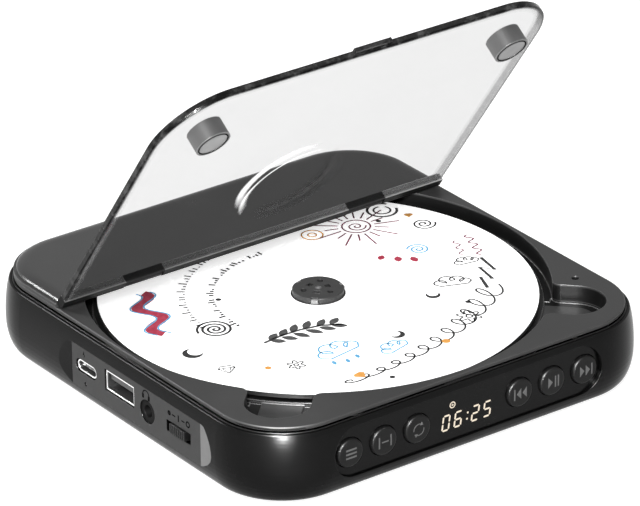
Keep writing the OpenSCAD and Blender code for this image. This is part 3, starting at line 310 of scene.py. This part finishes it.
# ---------------------------------------------------------------- boards
# Fibreglass boards under green lacquer, with copper runs below the lacquer. Four screws hold the
# main board on its posts, and the key board stands in rails behind the key panel.
lacquer = Finish("board_lacquer")
runs = lacquer.node("ShaderNodeTexBrick", {"offset": 0.37, "squash": 0.6}, {
    "Vector": lacquer.place(), "Scale": 420, "Mortar Size": 0.035, "Color1": grey(30), "Color2": grey(60),
    "Mortar": grey(255)})
pores = lacquer.noise(0.0006, 2)
lacquer.set(Base_Color=lacquer.mix(runs, (0.012, 0.09, 0.04), (0.05, 0.2, 0.1)),
            Roughness=0.28 + pores * 0.1, Normal=lacquer.bump(runs, 0.00003))
coat(lacquer, "main_board", "key_board")


# ---------------------------------------------------------------- screws, cans and motors
# Zinc plated screws, and the drawn steel cans of the two motors, the key switches and the slide
# switch. Drawing has left fine marks round them, and handling has left cloudy stains.
def metal(name, tone, roughness, scratch=0.0002, drawn=(1, 14, 1)):
    """Metal with fine drawing marks along one way and cloudy stains."""
    finish = Finish(name)
    stretched = finish.node("ShaderNodeMapping", {}, {"Vector": finish.place(), "Scale": drawn})
    marks = finish.noise(scratch * max(drawn), 4, 0.7, stretched)
    stains = finish.noise(0.006, 3)
    finish.set(Base_Color=finish.mix(stains.clipped(0.3, 0.8) * 0.5, grey(tone), grey(tone * 0.8)),
               Metallic=1.0, Roughness=roughness + (marks - 0.5) * 0.16,
               Normal=finish.bump(marks, 0.000008, 0.5, finish.eased(0.0001)))
    return finish


coat(metal("screw_steel", 178, 0.3), "board_screws", "case_screws", "damper_screws", "hinge_screws")
coat(metal("can_steel", 168, 0.36), "switch_body", "tact_switches", "spindle_motor", "sled_motor")

# ---------------------------------------------------------------- sockets
# The two bus sockets are folded from thin plated sheet. Only their front edges shine: their
# insides are painted dull and dark, a painted shade deep in the openings. The headphone socket is a
# black moulding, and the charge light is an unlit dark rod in a pinhole.
plating = Finish("socket_plating")
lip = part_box("usb_a_socket")[0][0]
# The insides are painted dark and dull: painted shade deep in the openings
shaded_inside = (plating.part("X") - lip).clipped(0.00002, 0.0003)
scuffs = plating.noise(0.0007, 4)
plating.set(Base_Color=plating.mix(shaded_inside, grey(228), grey(40)),
            Metallic=1 - shaded_inside, Roughness=0.22 + scuffs * 0.16,
            Normal=plating.bump(scuffs, 0.00001, 0.4, plating.eased(0.00008)))
coat(plating, "usb_c_socket", "usb_a_socket")
coat(moulded("socket_plastic", 14, 0.5, sheen=0.03), "headphone_jack", "lid_sensor")

light_rod = Finish("light_rod")
light_rod.set(Base_Color=light_rod.mix(light_rod.noise(0.0008), grey(10), grey(16)), Roughness=0.5,
              Normal=light_rod.bump(light_rod.noise(0.0003), 0.00001))
coat(light_rod, "charge_light")


def strokes(name, lines, width, lift, thick, skin, patches):
    """Flat strips along lines, and flat patches, as closed meshes in one piece.

    A line says whether it is closed, its points and, if not the usual one, its width. The tops
    stand at the lift over the surface, and skin(u, v, h) puts a point on it.
    """
    mesh = bmesh.new()
    for closed, points, *own_width in lines:
        wide = own_width[0] if own_width else width
        count = len(points)
        rails = []
        for i, point in enumerate(points):
            before = points[i - 1] if i or closed else point
            after = points[(i + 1) % count] if i < count - 1 or closed else point
            way = (Vector(after) - Vector(before)).normalized()
            side = Vector((-way.y, way.x)) * wide / 2
            rails.append([mesh.verts.new(skin(point[0] + s * side.x, point[1] + s * side.y, h))
                          for s, h in ((-1, lift), (1, lift), (1, lift - thick), (-1, lift - thick))])
        pairs = list(zip(rails, rails[1:]))
        if closed:
            pairs.append((rails[-1], rails[0]))
        for a, b in pairs:
            for k in range(4):
                mesh.faces.new((a[k], a[(k + 1) % 4], b[(k + 1) % 4], b[k]))
        if not closed:
            mesh.faces.new(rails[0][::-1])
            mesh.faces.new(rails[-1])
    for patch in patches:
        top = [mesh.verts.new(skin(u, v, lift)) for u, v in patch]
        low = [mesh.verts.new(skin(u, v, lift - thick)) for u, v in patch]
        mesh.faces.new(top)
        mesh.faces.new(low[::-1])
        for i in range(len(patch)):
            k = (i + 1) % len(patch)
            mesh.faces.new((top[i], low[i], low[k], top[k]))
    bmesh.ops.recalc_face_normals(mesh, faces=mesh.faces)
    bmesh.ops.triangulate(mesh, faces=[f for f in mesh.faces if len(f.verts) > 4])
    data = bpy.data.meshes.new(name)
    mesh.to_mesh(data)
    mesh.free()
    piece = bpy.data.objects.new(name, data)
    bpy.context.scene.collection.objects.link(piece)
    return piece


def add(piece, finish, body):
    """Gives a new piece its finish and its body."""
    piece.data.materials.append(finish.material)
    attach(piece, body)


def arc(u, v, r, start, end, steps=24):
    angles = (math.radians(start + (end - start) * i / steps) for i in range(steps + 1))
    return [(u + r * math.cos(a), v + r * math.sin(a)) for a in angles]


def ring(u, v, r, steps=32):
    return arc(u, v, r, 0, 360, steps)[:-1]


# Small dark marks pressed in the port flat: a flash over the charging socket, headphones over
# the round one, and a dot, a bar and a ring over the stops of the slide switch.
def on_flat(u, v, h):
    """A point u towards the front and v up on the port flat, h out of it."""
    return ((flat_x - h) * mm, -u * mm, v * mm)


mark_ink = moulded("mark_ink", 3, 0.7, sheen=0.01, edge=0.00003, lift=0)
flash = [[(-15.2, 16.3), (-15.75, 15.05), (-15.1, 15.1)],
         [(-15.1, 15.1), (-14.65, 15.25), (-15.35, 14.0)]]
phones = [(False, arc(13.9, 15.0, 1.45, 180, 0, 16), 0.36),
          (False, [(12.55, 15.2), (12.55, 13.9)], 0.85),
          (False, [(15.25, 15.2), (15.25, 13.9)], 0.85),
          (False, [(15.2, 14.0), (14.6, 13.5), (13.9, 13.45)], 0.26)]
label = [(True, ring(24.6, 14.35, 0.42, 12), 0.6),
         (False, [(25.9, 14.35), (27.4, 14.35)]),
         (False, [(28.8, 15.3), (28.8, 13.4)], 0.5),
         (False, [(30.2, 14.35), (31.6, 14.35)]),
         (True, ring(33.1, 14.35, 0.75, 20), 0.42)]
add(strokes("port_marks", phones + label, 0.36, 0.02, 0.05, on_flat, flash), mark_ink, "base")

# ---------------------------------------------------------------- battery
# A flat pouch cell in dark blue foil with a crinkled skin. It lies under the chassis, stuck to the
# floor of the shell.
foil = Finish("battery_foil")
creases = foil.node("ShaderNodeTexVoronoi", {"feature": "DISTANCE_TO_EDGE"},
                    {"Vector": foil.place(), "Scale": 190})
foil.set(Base_Color=foil.mix(foil.noise(0.01), (0.03, 0.07, 0.2), (0.06, 0.12, 0.3)), Metallic=0.55,
         Roughness=0.3 + foil.noise(0.002) * 0.2, Normal=foil.bump(creases.clipped(0, 0.4), 0.00012, 0.5))
coat(foil, "battery")

# ---------------------------------------------------------------- chassis and disc drive
# A zinc plated plate on four rubber dampers. Polished rods carry the black sled with its lens, and
# a steel lead screw drives it.
coat(metal("zinc_plate", 176, 0.38, 0.0006), "chassis")
coat(metal("rod_steel", 205, 0.14, 0.0001, drawn=(14, 1, 14)), "guide_rods", "lead_screw")
coat(moulded("sled_plastic", 18, 0.5, grain=0.0005, depth=0.00002), "pickup_sled")
lens_glass = Finish("lens_glass")
bloom = lens_glass.noise(0.003)
lens_glass.set(Base_Color=lens_glass.mix(bloom, (0.05, 0.07, 0.16), (0.12, 0.08, 0.2)),
               Roughness=0.06 + bloom * 0.06, Coat_Weight=1.0)
coat(lens_glass, "pickup_lens")

# ---------------------------------------------------------------- hub
# A satin grey turntable and boss with three sprung claws. The end of the steel shaft shows in
# the middle, as a bright dot in a ring painted grey and then dark, a painted shade.
coat(moulded("hub_plastic", 66, 0.42, sheen=0.08, grain=0.0003, depth=0.000006, edge=0.00012),
     "spindle_hub")
coat(moulded("claw_plastic", 140, 0.34, sheen=0.12, edge=0.0001), "hub_claw_1", "hub_claw_2", "hub_claw_3")
spindle_y = -0.35


def round_spindle(finish):
    """How a point lies from the spindle, and how far it is from the spindle's axis."""
    offset = finish.node("ShaderNodeVectorMath", {"operation": "SUBTRACT"},
                         {0: finish.place(), 1: (0, spindle_y * mm, 0)})
    level = finish.node("ShaderNodeVectorMath", {"operation": "MULTIPLY"}, {0: offset, 1: (1, 1, 0)})
    return offset, finish.node("ShaderNodeVectorMath", {"operation": "LENGTH"}, {0: level}, "Value")


shaft = metal("shaft_steel", 215, 0.18, 0.0001)
away = round_spindle(shaft)[1]
# Round its bright middle the shaft's end is painted grey and then dark: painted shade
shaft.second_shader(away.clipped(0.00034, 0.0004), Roughness=0.5, Base_Color=shaft.mix(
    away.clipped(0.0007, 0.00078), grey(66), grey(12)))
coat(shaft, "spindle_shaft")


# ---------------------------------------------------------------- key panel and display
# A glossy black window in the front side. Its display shines through: slanted numbers of lit
# bars, and a small disc above them.
coat(moulded("panel_gloss", 12, 0.2, sheen=0.1, grain=0.0006, depth=0.000001, rubbed=0.03, edge=0.0002),
     "key_panel")
coat(moulded("display_case", 24, 0.5), "display_module")
face_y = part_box("key_panel")[0][1] / mm


def on_panel(u, v, h):
    """A point u to the right and v up on the key panel, h out of it."""
    return (u * mm, (face_y - h) * mm, v * mm)


glow = Finish("display_glow")
pulse = glow.noise(0.0006, 2)
glow.set(Base_Color=grey(40), Roughness=0.4, Emission_Strength=1.0, Emission_Color=glow.mix(
    pulse.clipped(0.3, 0.7), (0.92, 0.80, 0.62), (0.86, 0.72, 0.55)))
segments = {"a": ((0, 2), (1, 2)), "b": ((1, 2), (1, 1)), "c": ((1, 1), (1, 0)), "d": ((0, 0), (1, 0)),
            "e": ((0, 1), (0, 0)), "f": ((0, 2), (0, 1)), "g": ((0, 1), (1, 1))}
numbers = {"0": "abcdef", "2": "abged", "5": "afgcd", "6": "afgedc"}
bar_length, half_bar, bar_gap, slant, digit_foot = 2.1, 0.25, 0.1, 0.14, 7.9
bars = []
for number, left in (("0", -8.5), ("6", -4.5), ("2", 1.25), ("5", 5.2)):
    for name in numbers[number]:
        start, end = (Vector(corner) * bar_length for corner in segments[name])
        way = (end - start).normalized()
        tip = way * half_bar
        side = Vector((-way.y, way.x)) * half_bar
        start += way * bar_gap
        end -= way * bar_gap
        shape = [start, start + tip + side, end - tip + side, end, end - tip - side, start + tip - side]
        bars.append([(left + p.x + p.y * slant, digit_foot + p.y) for p in shape])
bars += [ring(-0.35 + slant * v, digit_foot + v, 0.3, 12) for v in (1.2, 3.0)]
tiny_disc = [(True, ring(-5.0, 14.75, 0.82, 28), 0.3), (True, ring(-5.0, 14.75, 0.22, 12), 0.2)]
add(strokes("display_glow", tiny_disc, 0.3, 0.012, 0.03, on_panel, bars), glow, "base")

# ---------------------------------------------------------------- keys
# Six round black keys with slightly domed caps in the panel's holes. A paler sign is inlaid in
# each: a list, a marked section, a loop, back, play and next.
key_gloss = moulded("key_gloss", 26, 0.34, sheen=0.08, grain=0.0003, depth=0.000002, edge=0.0003)
key_names = ("key_mode", "key_section", "key_loop", "key_back", "key_play", "key_next")
coat(key_gloss, *key_names, "switch_knob")
inlay = moulded("key_inlay", 84, 0.5, sheen=0.2, edge=0.00003, lift=0)


def triangle(u, way):
    """A triangle that points one way or the other."""
    return [(u, -1.55), (u + 1.45 * way, 0), (u, 1.55)]


def bar(u):
    """An upright bar."""
    return (False, [(u, -1.65), (u, -0.8), (u, 0), (u, 0.8), (u, 1.65)], 0.42)


def turned_by(points, u, v, degrees):
    """Points drawn round the origin, turned and moved to their place."""
    c, s = math.cos(math.radians(degrees)), math.sin(math.radians(degrees))
    return [(u + x * c - y * s, v + x * s + y * c) for x, y in points]


arrow_head = [(0.62, 0), (-0.35, 0.55), (-0.35, -0.55)]

signs = {
    "key_mode": ([(False, [(-1.7, v), (-0.6, v), (0.6, v), (1.7, v)], 0.5) for v in (-1.15, 0, 1.15)], []),
    "key_section": ([bar(-1.9), bar(1.9), (False, [(-1.1, 0), (0, 0), (1.1, 0)], 0.36)], []),
    "key_loop": ([(False, arc(0, 0, 1.65, start, start + 125, 20), 0.26) for start in (60, 240)],
                 [turned_by(arrow_head, 0.95, 1.42, -35), turned_by(arrow_head, -0.95, -1.42, 145)]),
    "key_back": ([bar(-2.1)], [triangle(0.05, -1), triangle(1.95, -1)]),
    "key_play": ([bar(0.65), bar(1.65)], [triangle(-1.75, 1)]),
    "key_next": ([bar(2.1)], [triangle(-1.95, 1), triangle(-0.05, 1)]),
}
for name in key_names:
    low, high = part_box(name)
    middle = ((low[0] + high[0]) / 2 / mm, (low[2] + high[2]) / 2 / mm)
    cap_y = low[1] / mm

    def on_cap(u, v, h):
        """A point on the key's cap, which falls away from its middle."""
        out = math.hypot(u, v)
        sunk = 0.02 * out if out < 2 else 0.04 + (out - 2) * 0.1 / 1.5
        return ((middle[0] + u) * mm, (cap_y + sunk - h) * mm, (middle[1] + v) * mm)

    lines, patches = signs[name]
    add(strokes(name.replace("key", "sign"), lines, 0.4, 0.04, 0.1, on_cap, patches), inlay,
        name.replace("key", "button"))

# ---------------------------------------------------------------- deck and seam
# The matt grey top moulding with the well and two finger scoops. The well's walls and floor are
# left smooth and painted dark, a painted shade in the recess, with a painted highlight along their
# edges, while the top is sparked matt. A thin glossy ring fills the seam below.
deck_finish = moulded("deck_plastic", 48, 0.45, sheen=0.16, edge=0.0003, lift=0.6)
deck_top, pad_depth, inner_x, inner_y = 22.4, 5.0, 63.8, 64.5
depth_below = deck_top * mm - deck_finish.part("Z")
inside_rim = (deck_finish.part("X").size() < inner_x * mm) * (deck_finish.part("Y").size() < inner_y * mm)
soft_edge = deck_finish.eased(0.0005)
# Inside the rim the walls and floor are painted dark, a painted shade, and their edges get a painted
# highlight
lit_edge = (1 - soft_edge.along(deck_finish.facing())).clipped(0.02, 0.16)
painted_well_shade = deck_finish.mix(deck_finish.noise(0.004), grey(9), grey(16))
deck_finish.second_shader(depth_below.clipped(0.0003, 0.0007) * inside_rim, Normal=soft_edge,
                          Base_Color=deck_finish.mix(lit_edge, painted_well_shade, grey(150)), Roughness=0.36,
                          Specular_IOR_Level=0.08)

# The pads that the lid's posts rest on keep about the deck's own grey, out of the painted shade, so they
# are paler than the channels round them
scoop_pad = depth_below.clipped((pad_depth + 0.1) * mm, (pad_depth + 0.04) * mm) * (
    depth_below > (pad_depth - 0.2) * mm)
deck_finish.second_shader(scoop_pad, Base_Color=deck_finish.mix(
    deck_finish.noise(0.003), grey(44), grey(54)), Roughness=0.4, Specular_IOR_Level=0.2, Normal=soft_edge)
coat(deck_finish, "deck")
coat(moulded("seam_plastic", 30, 0.3, sheen=0.2), "seam_ring")

# ---------------------------------------------------------------- rear cover
# A raised cover with rounded shoulders behind the hinge line, moulded in grey plastic from a
# polished mould and glued to the rim.
coat(moulded("cover_gloss", 40, 0.24, sheen=0.34, grain=0.0006, depth=0.000001, edge=0.0006),
     "rear_cover")

# ---------------------------------------------------------------- hinge
# A black bar is glued along the lid's rear edge. Two black knuckles on the body stand in its
# notches, and two steel pins join them. The bar's ledge beside the lid is painted pale, paler to the
# right, as a painted reflection of the white disc.
coat(moulded("knuckle_plastic", 14, 0.3, sheen=0.2, edge=0.0002), "hinge_knuckles")
bar_finish = moulded("hinge_plastic", 12, 0.42, sheen=0.05, edge=0.0001)
lid_open = math.radians(54.4)
hinge_at = Vector((0, 29.75, 24.0))
lid_out = Vector((0, -math.cos(lid_open), math.sin(lid_open)))
lid_up = Vector((0, math.sin(lid_open), math.cos(lid_open)))
knuckle_x, half_notch = 37.5, 6.4
# The ledge facing out from the hinge is painted pale: a painted reflection of the white disc, paler to the
# right and mostly left off in the notches
ledge = bar_finish.node("ShaderNodeTexCoord", {}, {}, "Normal").along(tuple(lid_out)).clipped(0.5, 0.8)
painted_reflection_side = bar_finish.part("X").clipped(-0.07, 0.06)
notch = ((bar_finish.part("X").size() - knuckle_x * mm).size() < half_notch * mm) * 0.9
painted_pale = painted_reflection_side * 0.7 + bar_finish.noise(0.006) * 0.12
bar_finish.second_shader(ledge * (1 - notch), Base_Color=bar_finish.mix(painted_pale, grey(90), grey(190)),
                         Roughness=0.5, Specular_IOR_Level=0.05)
coat(bar_finish, "hinge_bar")
coat(metal("pin_steel", 200, 0.2), "hinge_pins")

# ---------------------------------------------------------------- catch magnets and posts
# Nickel plated discs. Two are pressed in the lid's grey posts, each in a dark groove, and two
# are glued under the scoops.
coat(metal("magnet_nickel", 84, 0.6, 0.0004), "lid_magnets", "catch_magnets")
coat(moulded("post_plastic", 108, 0.38, sheen=0.06, edge=0.0004, lift=0.8), "lid_posts")
post_x, post_v, post_end, groove_r = 49.0, 80.8, 6.04, 4.34


def on_lid(u, v, h):
    """A point u across the lid, v from the hinge and h below the hinge axis' plane."""
    return (hinge_at + Vector((u, 0, 0)) + lid_out * v - lid_up * h) * mm


grooves = [(True, ring(side * post_x, post_v, groove_r, 48)) for side in (-1, 1)]
add(strokes("magnet_grooves", grooves, 0.36, post_end + 0.04, 0.08, on_lid, []), mark_ink, "lid")

# ---------------------------------------------------------------- lid
# A clear, slightly smoked sheet with polished edges and a shallow dish over the spindle. Its rim
# gathers the light and looks dark against white, which is painted: a painted dark rim with a paler
# painted sheen just inside it. The dish's wall carries a glowing painted highlight on its outer left
# side and a painted shade on the opposite one.
lid_clear = Finish("lid_clear")
lid_place = lid_clear.place()
reach = lid_place.along(tuple(lid_out)) - hinge_at.dot(lid_out) * mm
across = lid_clear.part("X", lid_place)
smoke = lid_clear.noise(0.03, 2)
lid_clear.set(Base_Color=(0, 0, 0), Roughness=0.1, IOR=1.0, Alpha=0.2 + (smoke - 0.5) * 0.02)
dish_middle, dish_radius = 30.1, 15
dish_v = reach - dish_middle * mm
dish_r = (across * across + dish_v * dish_v) ** 0.5
dish_wall = dish_r.clipped(0.0132, 0.0144) * dish_r.clipped(0.0166, 0.0156)
toward_light = (dish_v * 0.62 - across * 0.78) / (dish_radius * mm)
# A glowing painted highlight on the dish's wall, on the side toward the light
lid_clear.second_shader(dish_wall * toward_light.clipped(0.3, 0.85), Base_Color=lid_clear.mix(
    smoke, grey(240), grey(250)), Roughness=0.3, Specular_IOR_Level=0.1,
    Emission_Color=lid_clear.mix(smoke, grey(200), grey(215)), Emission_Strength=0.7)
# A painted shade on the dish's wall, on the side away from the light
dish_shade = dish_r.clipped(0.0105, 0.0138) * dish_r.clipped(0.0164, 0.0142)
lid_clear.second_shader(dish_shade * toward_light.clipped(-0.2, -0.9) * 0.85, Base_Color=lid_clear.mix(
    smoke, grey(24), grey(34)), Roughness=0.4, Specular_IOR_Level=0.1)

# Within the lid's outline the distance from the corners' centres grows to 18.8 mm at the edge
corner_x, corner_reach = 44.7, 75.55
corner_u = (across.size() - corner_x * mm).at_least(0)
corner_v = (reach - corner_reach * mm).at_least(0)
rim_r = (corner_u * corner_u + corner_v * corner_v) ** 0.5
blotch = lid_clear.noise(0.0035, 4, 0.7)
# A paler painted sheen just inside the lid's rim
painted_rim_sheen = rim_r.clipped(0.0166, 0.0184) * 0.28
lid_clear.second_shader(painted_rim_sheen, Base_Color=lid_clear.mix(blotch, grey(150), grey(170)), Roughness=0.3,
                        Specular_IOR_Level=0.3)
# The rim is painted dark, a painted shade for the light its edges bend, except along the lid's right edge
far_side = across.clipped(0.058, 0.0625) * reach.clipped(0.086, 0.076) * 0.7
rim = rim_r.clipped(0.0180, 0.0188) * (0.7 + blotch * 0.6) * (1 - far_side)
lid_clear.second_shader(rim.clipped(0, 1), Base_Color=lid_clear.mix(
    blotch.clipped(0.4, 0.58), grey(44), grey(6)), Roughness=0.2, Specular_IOR_Level=0.12,
    Normal=lid_clear.eased(0.0003))
coat(lid_clear, "lid_panel")

# ---------------------------------------------------------------- disc
# A polycarbonate disc, silvered below with a clear edge, and screen printed white on top. Its
# track of pits breaks light into pale colours below, painted into its colour as a painted sheen. The
# white top is made to glow a little, painted light that keeps it evenly white.
printed = Finish("disc_print")
from_hub, spread = round_spindle(printed)
under = printed.facing().along((0, 0, -1)).clipped(0.4, 0.6)
turned = printed.node("ShaderNodeTexGradient", {"gradient_type": "RADIAL"}, {"Vector": from_hub}, "Fac")
rainbow = printed.node("ShaderNodeValToRGB", {"stops": [
    (0, (0.55, 0.5, 0.62)), (0.2, (0.5, 0.62, 0.6)), (0.4, (0.66, 0.62, 0.5)), (0.6, (0.6, 0.5, 0.6)),
    (0.8, (0.5, 0.6, 0.66)), (1, (0.55, 0.5, 0.62))]}, {0: turned})
ink_white = printed.mix(printed.noise(0.0015, 3), grey(251), grey(255))
edge_band = spread.clipped(0.0592, 0.0594)
top_face = printed.mix(edge_band, ink_white, grey(244))
over = printed.facing().along((0, 0, 1)).clipped(0.5, 0.7)
sides = printed.mix(over, grey(60), top_face)
# The top's print glows a little: painted light. The colours below are a painted sheen
printed.set(Base_Color=printed.mix(under, sides, rainbow), Metallic=under * 0.9,
            Roughness=0.34 - under * 0.24, Normal=printed.bump(printed.noise(0.0004, 3), 0.000004, 0.3),
            Emission_Color=printed.mix(over, (0, 0, 0), ink_white), Emission_Strength=0.65,
            Specular_IOR_Level=0.12)
coat(printed, "disc")

# ---------------------------------------------------------------- disc drawings
# Loose pen drawings screen printed over the white: scribbles, plants, weather and shapes. Each
# ink is one thin film.
disc_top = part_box("disc")[1][2] / mm


def on_disc(u, v, h):
    """A point u to the right and v back from the disc's middle, h over its print."""
    return (u * mm, (spindle_y + v) * mm, (disc_top + h) * mm)


def ink(name, tone_low, tone_high):
    """Screen printing ink, a little uneven."""
    finish = Finish(name)
    pressed = finish.noise(0.0012, 4)
    finish.set(Base_Color=finish.mix(pressed.clipped(0.35, 0.65), tone_low, tone_high),
               Roughness=0.4 + pressed * 0.1, Normal=finish.bump(pressed, 0.000004, 0.4),
               Specular_IOR_Level=0.2)
    return finish


def curl(turns, r, steps=60):
    return [(r * i / steps * math.cos(turns * 2 * math.pi * i / steps),
             r * i / steps * math.sin(turns * 2 * math.pi * i / steps)) for i in range(2, steps + 1)]


def petals(count, r, depth, steps=72):
    angles = [2 * math.pi * i / steps for i in range(steps)]
    radii = [r + depth * math.cos(count * a) for a in angles]
    return [(out * math.cos(a), out * math.sin(a)) for out, a in zip(radii, angles)]


def cloud(w):
    bumps = [(-0.34, 0.0, 0.18), (-0.12, 0.16, 0.22), (0.16, 0.14, 0.2), (0.36, 0.0, 0.16)]
    outline = []
    for u, v, r in bumps:
        outline += [(x * w, y * w) for x, y in arc(u, v, r, 190, -10, 10)]
    return outline + [(0.4 * w, -0.17 * w), (-0.38 * w, -0.18 * w)]


def wave(length, height, turns, steps=60):
    return [(length * (i / steps - 0.5), height * math.sin(turns * 2 * math.pi * i / steps))
            for i in range(steps + 1)]


def leaf(length, width):
    side = [(length * t, width * math.sin(math.pi * t) ** 0.8) for t in (i / 12 for i in range(13))]
    return side + [(u, -v) for u, v in side[-2:0:-1]]


def crescent(r):
    return arc(0, 0, r, 50, 310, 24) + arc(0.45 * r, 0, 0.78 * r, 285, 75, 20)[1:-1]


def gem(w):
    return [(-w, 0.25 * w), (-0.55 * w, 0.75 * w), (0.55 * w, 0.75 * w), (w, 0.25 * w), (0, -w)]


black_lines, black_shapes = [], []
grey_lines, grey_shapes = [], []
red_lines, red_shapes = [], []
blue_lines, blue_shapes = [], []
maroon_lines = []
amber_lines, amber_shapes = [], []

# Spirals, flowers, clouds, a gem, moons and dots in black pen
black_lines += [(False, turned_by(curl(3.4, 5.0, 110), -35, -1, 30), 0.7),
                (False, turned_by(curl(2.4, 3.4, 80), 49, 17, 200), 0.55)]
for u, v, r, size in ((24, -36, 2.6, 0.45), (-30, -31, 1.9, 0.4), (14, 38, 2.0, 0.4)):
    black_lines += [(True, turned_by(petals(6, r, r / 3), u, v, 10), size),
                    (True, ring(u, v, r / 3, 16), size)]
black_lines += [(True, turned_by(cloud(10), 33, -17, -22), 0.45),
                (True, turned_by(cloud(7), 44, -9, -10), 0.4),
                (True, turned_by(gem(2.4), -46, -22, -20), 0.4),
                (False, turned_by([(-2.4, 0.6), (2.4, 0.6)], -46, -22, -20), 0.34),
                (False, turned_by([(-1.1, 0.6), (0, -2.4), (1.1, 0.6)], -46, -22, -20), 0.3)]
black_shapes += [turned_by(crescent(2.8), -48, -9, 20), turned_by(crescent(2.1), 2, -33, 120),
                 turned_by(crescent(2.0), 24, -20, 60)]
black_shapes += [ring(u, v, 0.8, 12) for u, v in ((-14, -52), (29, -29), (-24, 13), (40, 26))]

# One long looping pen line that grows along the front of the disc, and a jagged one at its end
loops = []
for share in (i / 360 for i in range(361)):
    a = share * 12 * math.pi * 2
    tall = 1.0 + 3.4 * share ** 1.5
    loops.append((-26 + 66 * share + 2.3 * math.cos(a), -47.5 + 22 * share ** 2.2 + tall * math.sin(a)))
jagged = [(38.5, -25.5), (41, -19), (43, -22), (44.5, -14), (47, -18), (48.5, -9.5)]
black_lines += [(False, loops, 0.55), (False, jagged, 1.0)]

# A leafy sprig as the largest dark drawing, and two open rings
stem = [(-12, -17.4), (-6, -15.8), (0, -15.2), (6, -15.6), (11.5, -17.8)]
grey_lines += [(False, turned_by(stem, -15, 0, -8), 0.9)]
for at, lean in ((-10, 36), (-6.4, 44), (-2.6, 52), (1.2, 48), (5, 42), (8.4, 34)):
    for way in (1, -1):
        base_v = -15.4 - abs(at) * 0.12 + way * 0.2 - at * 0.14
        grey_shapes.append(turned_by(leaf(5.4 - abs(at) * 0.1, 1.15), at - 17.2, base_v, way * lean - 8))
grey_lines += [(False, arc(45, 31, 4.2, 35, 345, 30), 0.8), (False, arc(45, 31, 2.4, 75, 395, 24), 0.6)]

# A broad red ribbon with blue edges, and small red drops
ribbon = turned_by(wave(25, 2.6, 1.9, 90), -43.5, 17, 72)
red_lines += [(False, ribbon, 3.2)]
blue_lines += [(False, turned_by(wave(25.6, 2.6, 1.9, 90), -45.4, 17.5, 72), 0.5),
               (False, turned_by(wave(25.6, 2.6, 1.9, 90), -41.6, 16.5, 72), 0.5)]
red_shapes += [turned_by(leaf(3.4, 1.1), 29, 2, 60), turned_by(leaf(3.4, 1.1), 33, -1, 80),
               turned_by(leaf(3.0, 1.0), 25.5, 6, 40)]

# Blue pen outlines: clouds, rain and a curl
blue_lines += [(True, turned_by(cloud(13), -16, -31, 8), 0.5),
               (True, turned_by(cloud(9), -3, -38.5, 14), 0.45),
               (False, turned_by(curl(2.4, 3.2), 38, 5, 0), 0.5)]
blue_shapes += [turned_by(leaf(2.4, 0.6), u, v, 255)
                for u, v in ((-21, -35), (-17.4, -36.2), (-13.8, -35.6))]

# A maroon sun with short and long rays near the right edge, and two wavy lines
sun_u, sun_v = 33, 27
maroon_lines += [(True, ring(sun_u, sun_v, 4.0, 36), 0.5),
                 (False, turned_by(curl(1.8, 2.8, 50), sun_u, sun_v, 50), 0.45)]
for i in range(18):
    a = 2 * math.pi * i / 18
    ray = [(sun_u + r * math.cos(a), sun_v + r * math.sin(a)) for r in (5.2, 7.2, 9.2 + (i % 2) * 3.4)]
    maroon_lines.append((False, ray, 0.5))
maroon_lines += [(False, turned_by(wave(13, 1.0, 3.5, 60), 52, -2, 70), 0.5),
                 (False, turned_by(wave(9, 0.8, 2.5), 47.5, -1, 66), 0.4)]

# Small amber gems, dots and rings
amber_shapes += [turned_by(gem(1.9), -20, -46, 12), ring(10, -44, 1.2, 14),
                 turned_by(gem(1.4), 49, 24, -30), ring(-37, -28, 0.9, 14)]
amber_lines += [(True, ring(20, 30, 3.0, 30), 0.5), (True, ring(20, 30, 1.2, 16), 0.45)]

# Two rows of short pen dashes that follow the disc behind the hub
for i in range(40):
    dash = [(28.4, 0), (29.7 + 0.8 * math.sin(i * 1.7), 0.3 * math.sin(i))]
    if i % 5:
        black_lines.append((False, turned_by(dash, 0, 0, 84 + i * 2.6), 0.7))
for i in range(36):
    dash = [(36.2, 0), (37.6 + 1.0 * math.sin(i * 2.3), 0)]
    black_lines.append((False, turned_by(dash, 0, 0, 92 + i * 2.5), 0.6))

# The later inks lie a little higher, so that no two films share a surface
for colour, height, lines, patches, low, high in (
        ("black", 0.03, black_lines, black_shapes, grey(22), grey(40)),
        ("grey", 0.03, grey_lines, grey_shapes, grey(66), grey(84)),
        ("red", 0.03, red_lines, red_shapes, (0.42, 0.01, 0.05), (0.56, 0.04, 0.09)),
        ("blue", 0.036, blue_lines, blue_shapes, (0.08, 0.4, 0.72), (0.2, 0.55, 0.85)),
        ("maroon", 0.036, maroon_lines, [], (0.16, 0.015, 0.05), (0.26, 0.03, 0.08)),
        ("amber", 0.036, amber_lines, amber_shapes, (0.86, 0.36, 0.05), (0.93, 0.45, 0.1))):
    add(strokes("drawing_" + colour, lines, 0.4, height, 0.06, on_disc, patches),
        ink("ink_" + colour, low, high), "disc")
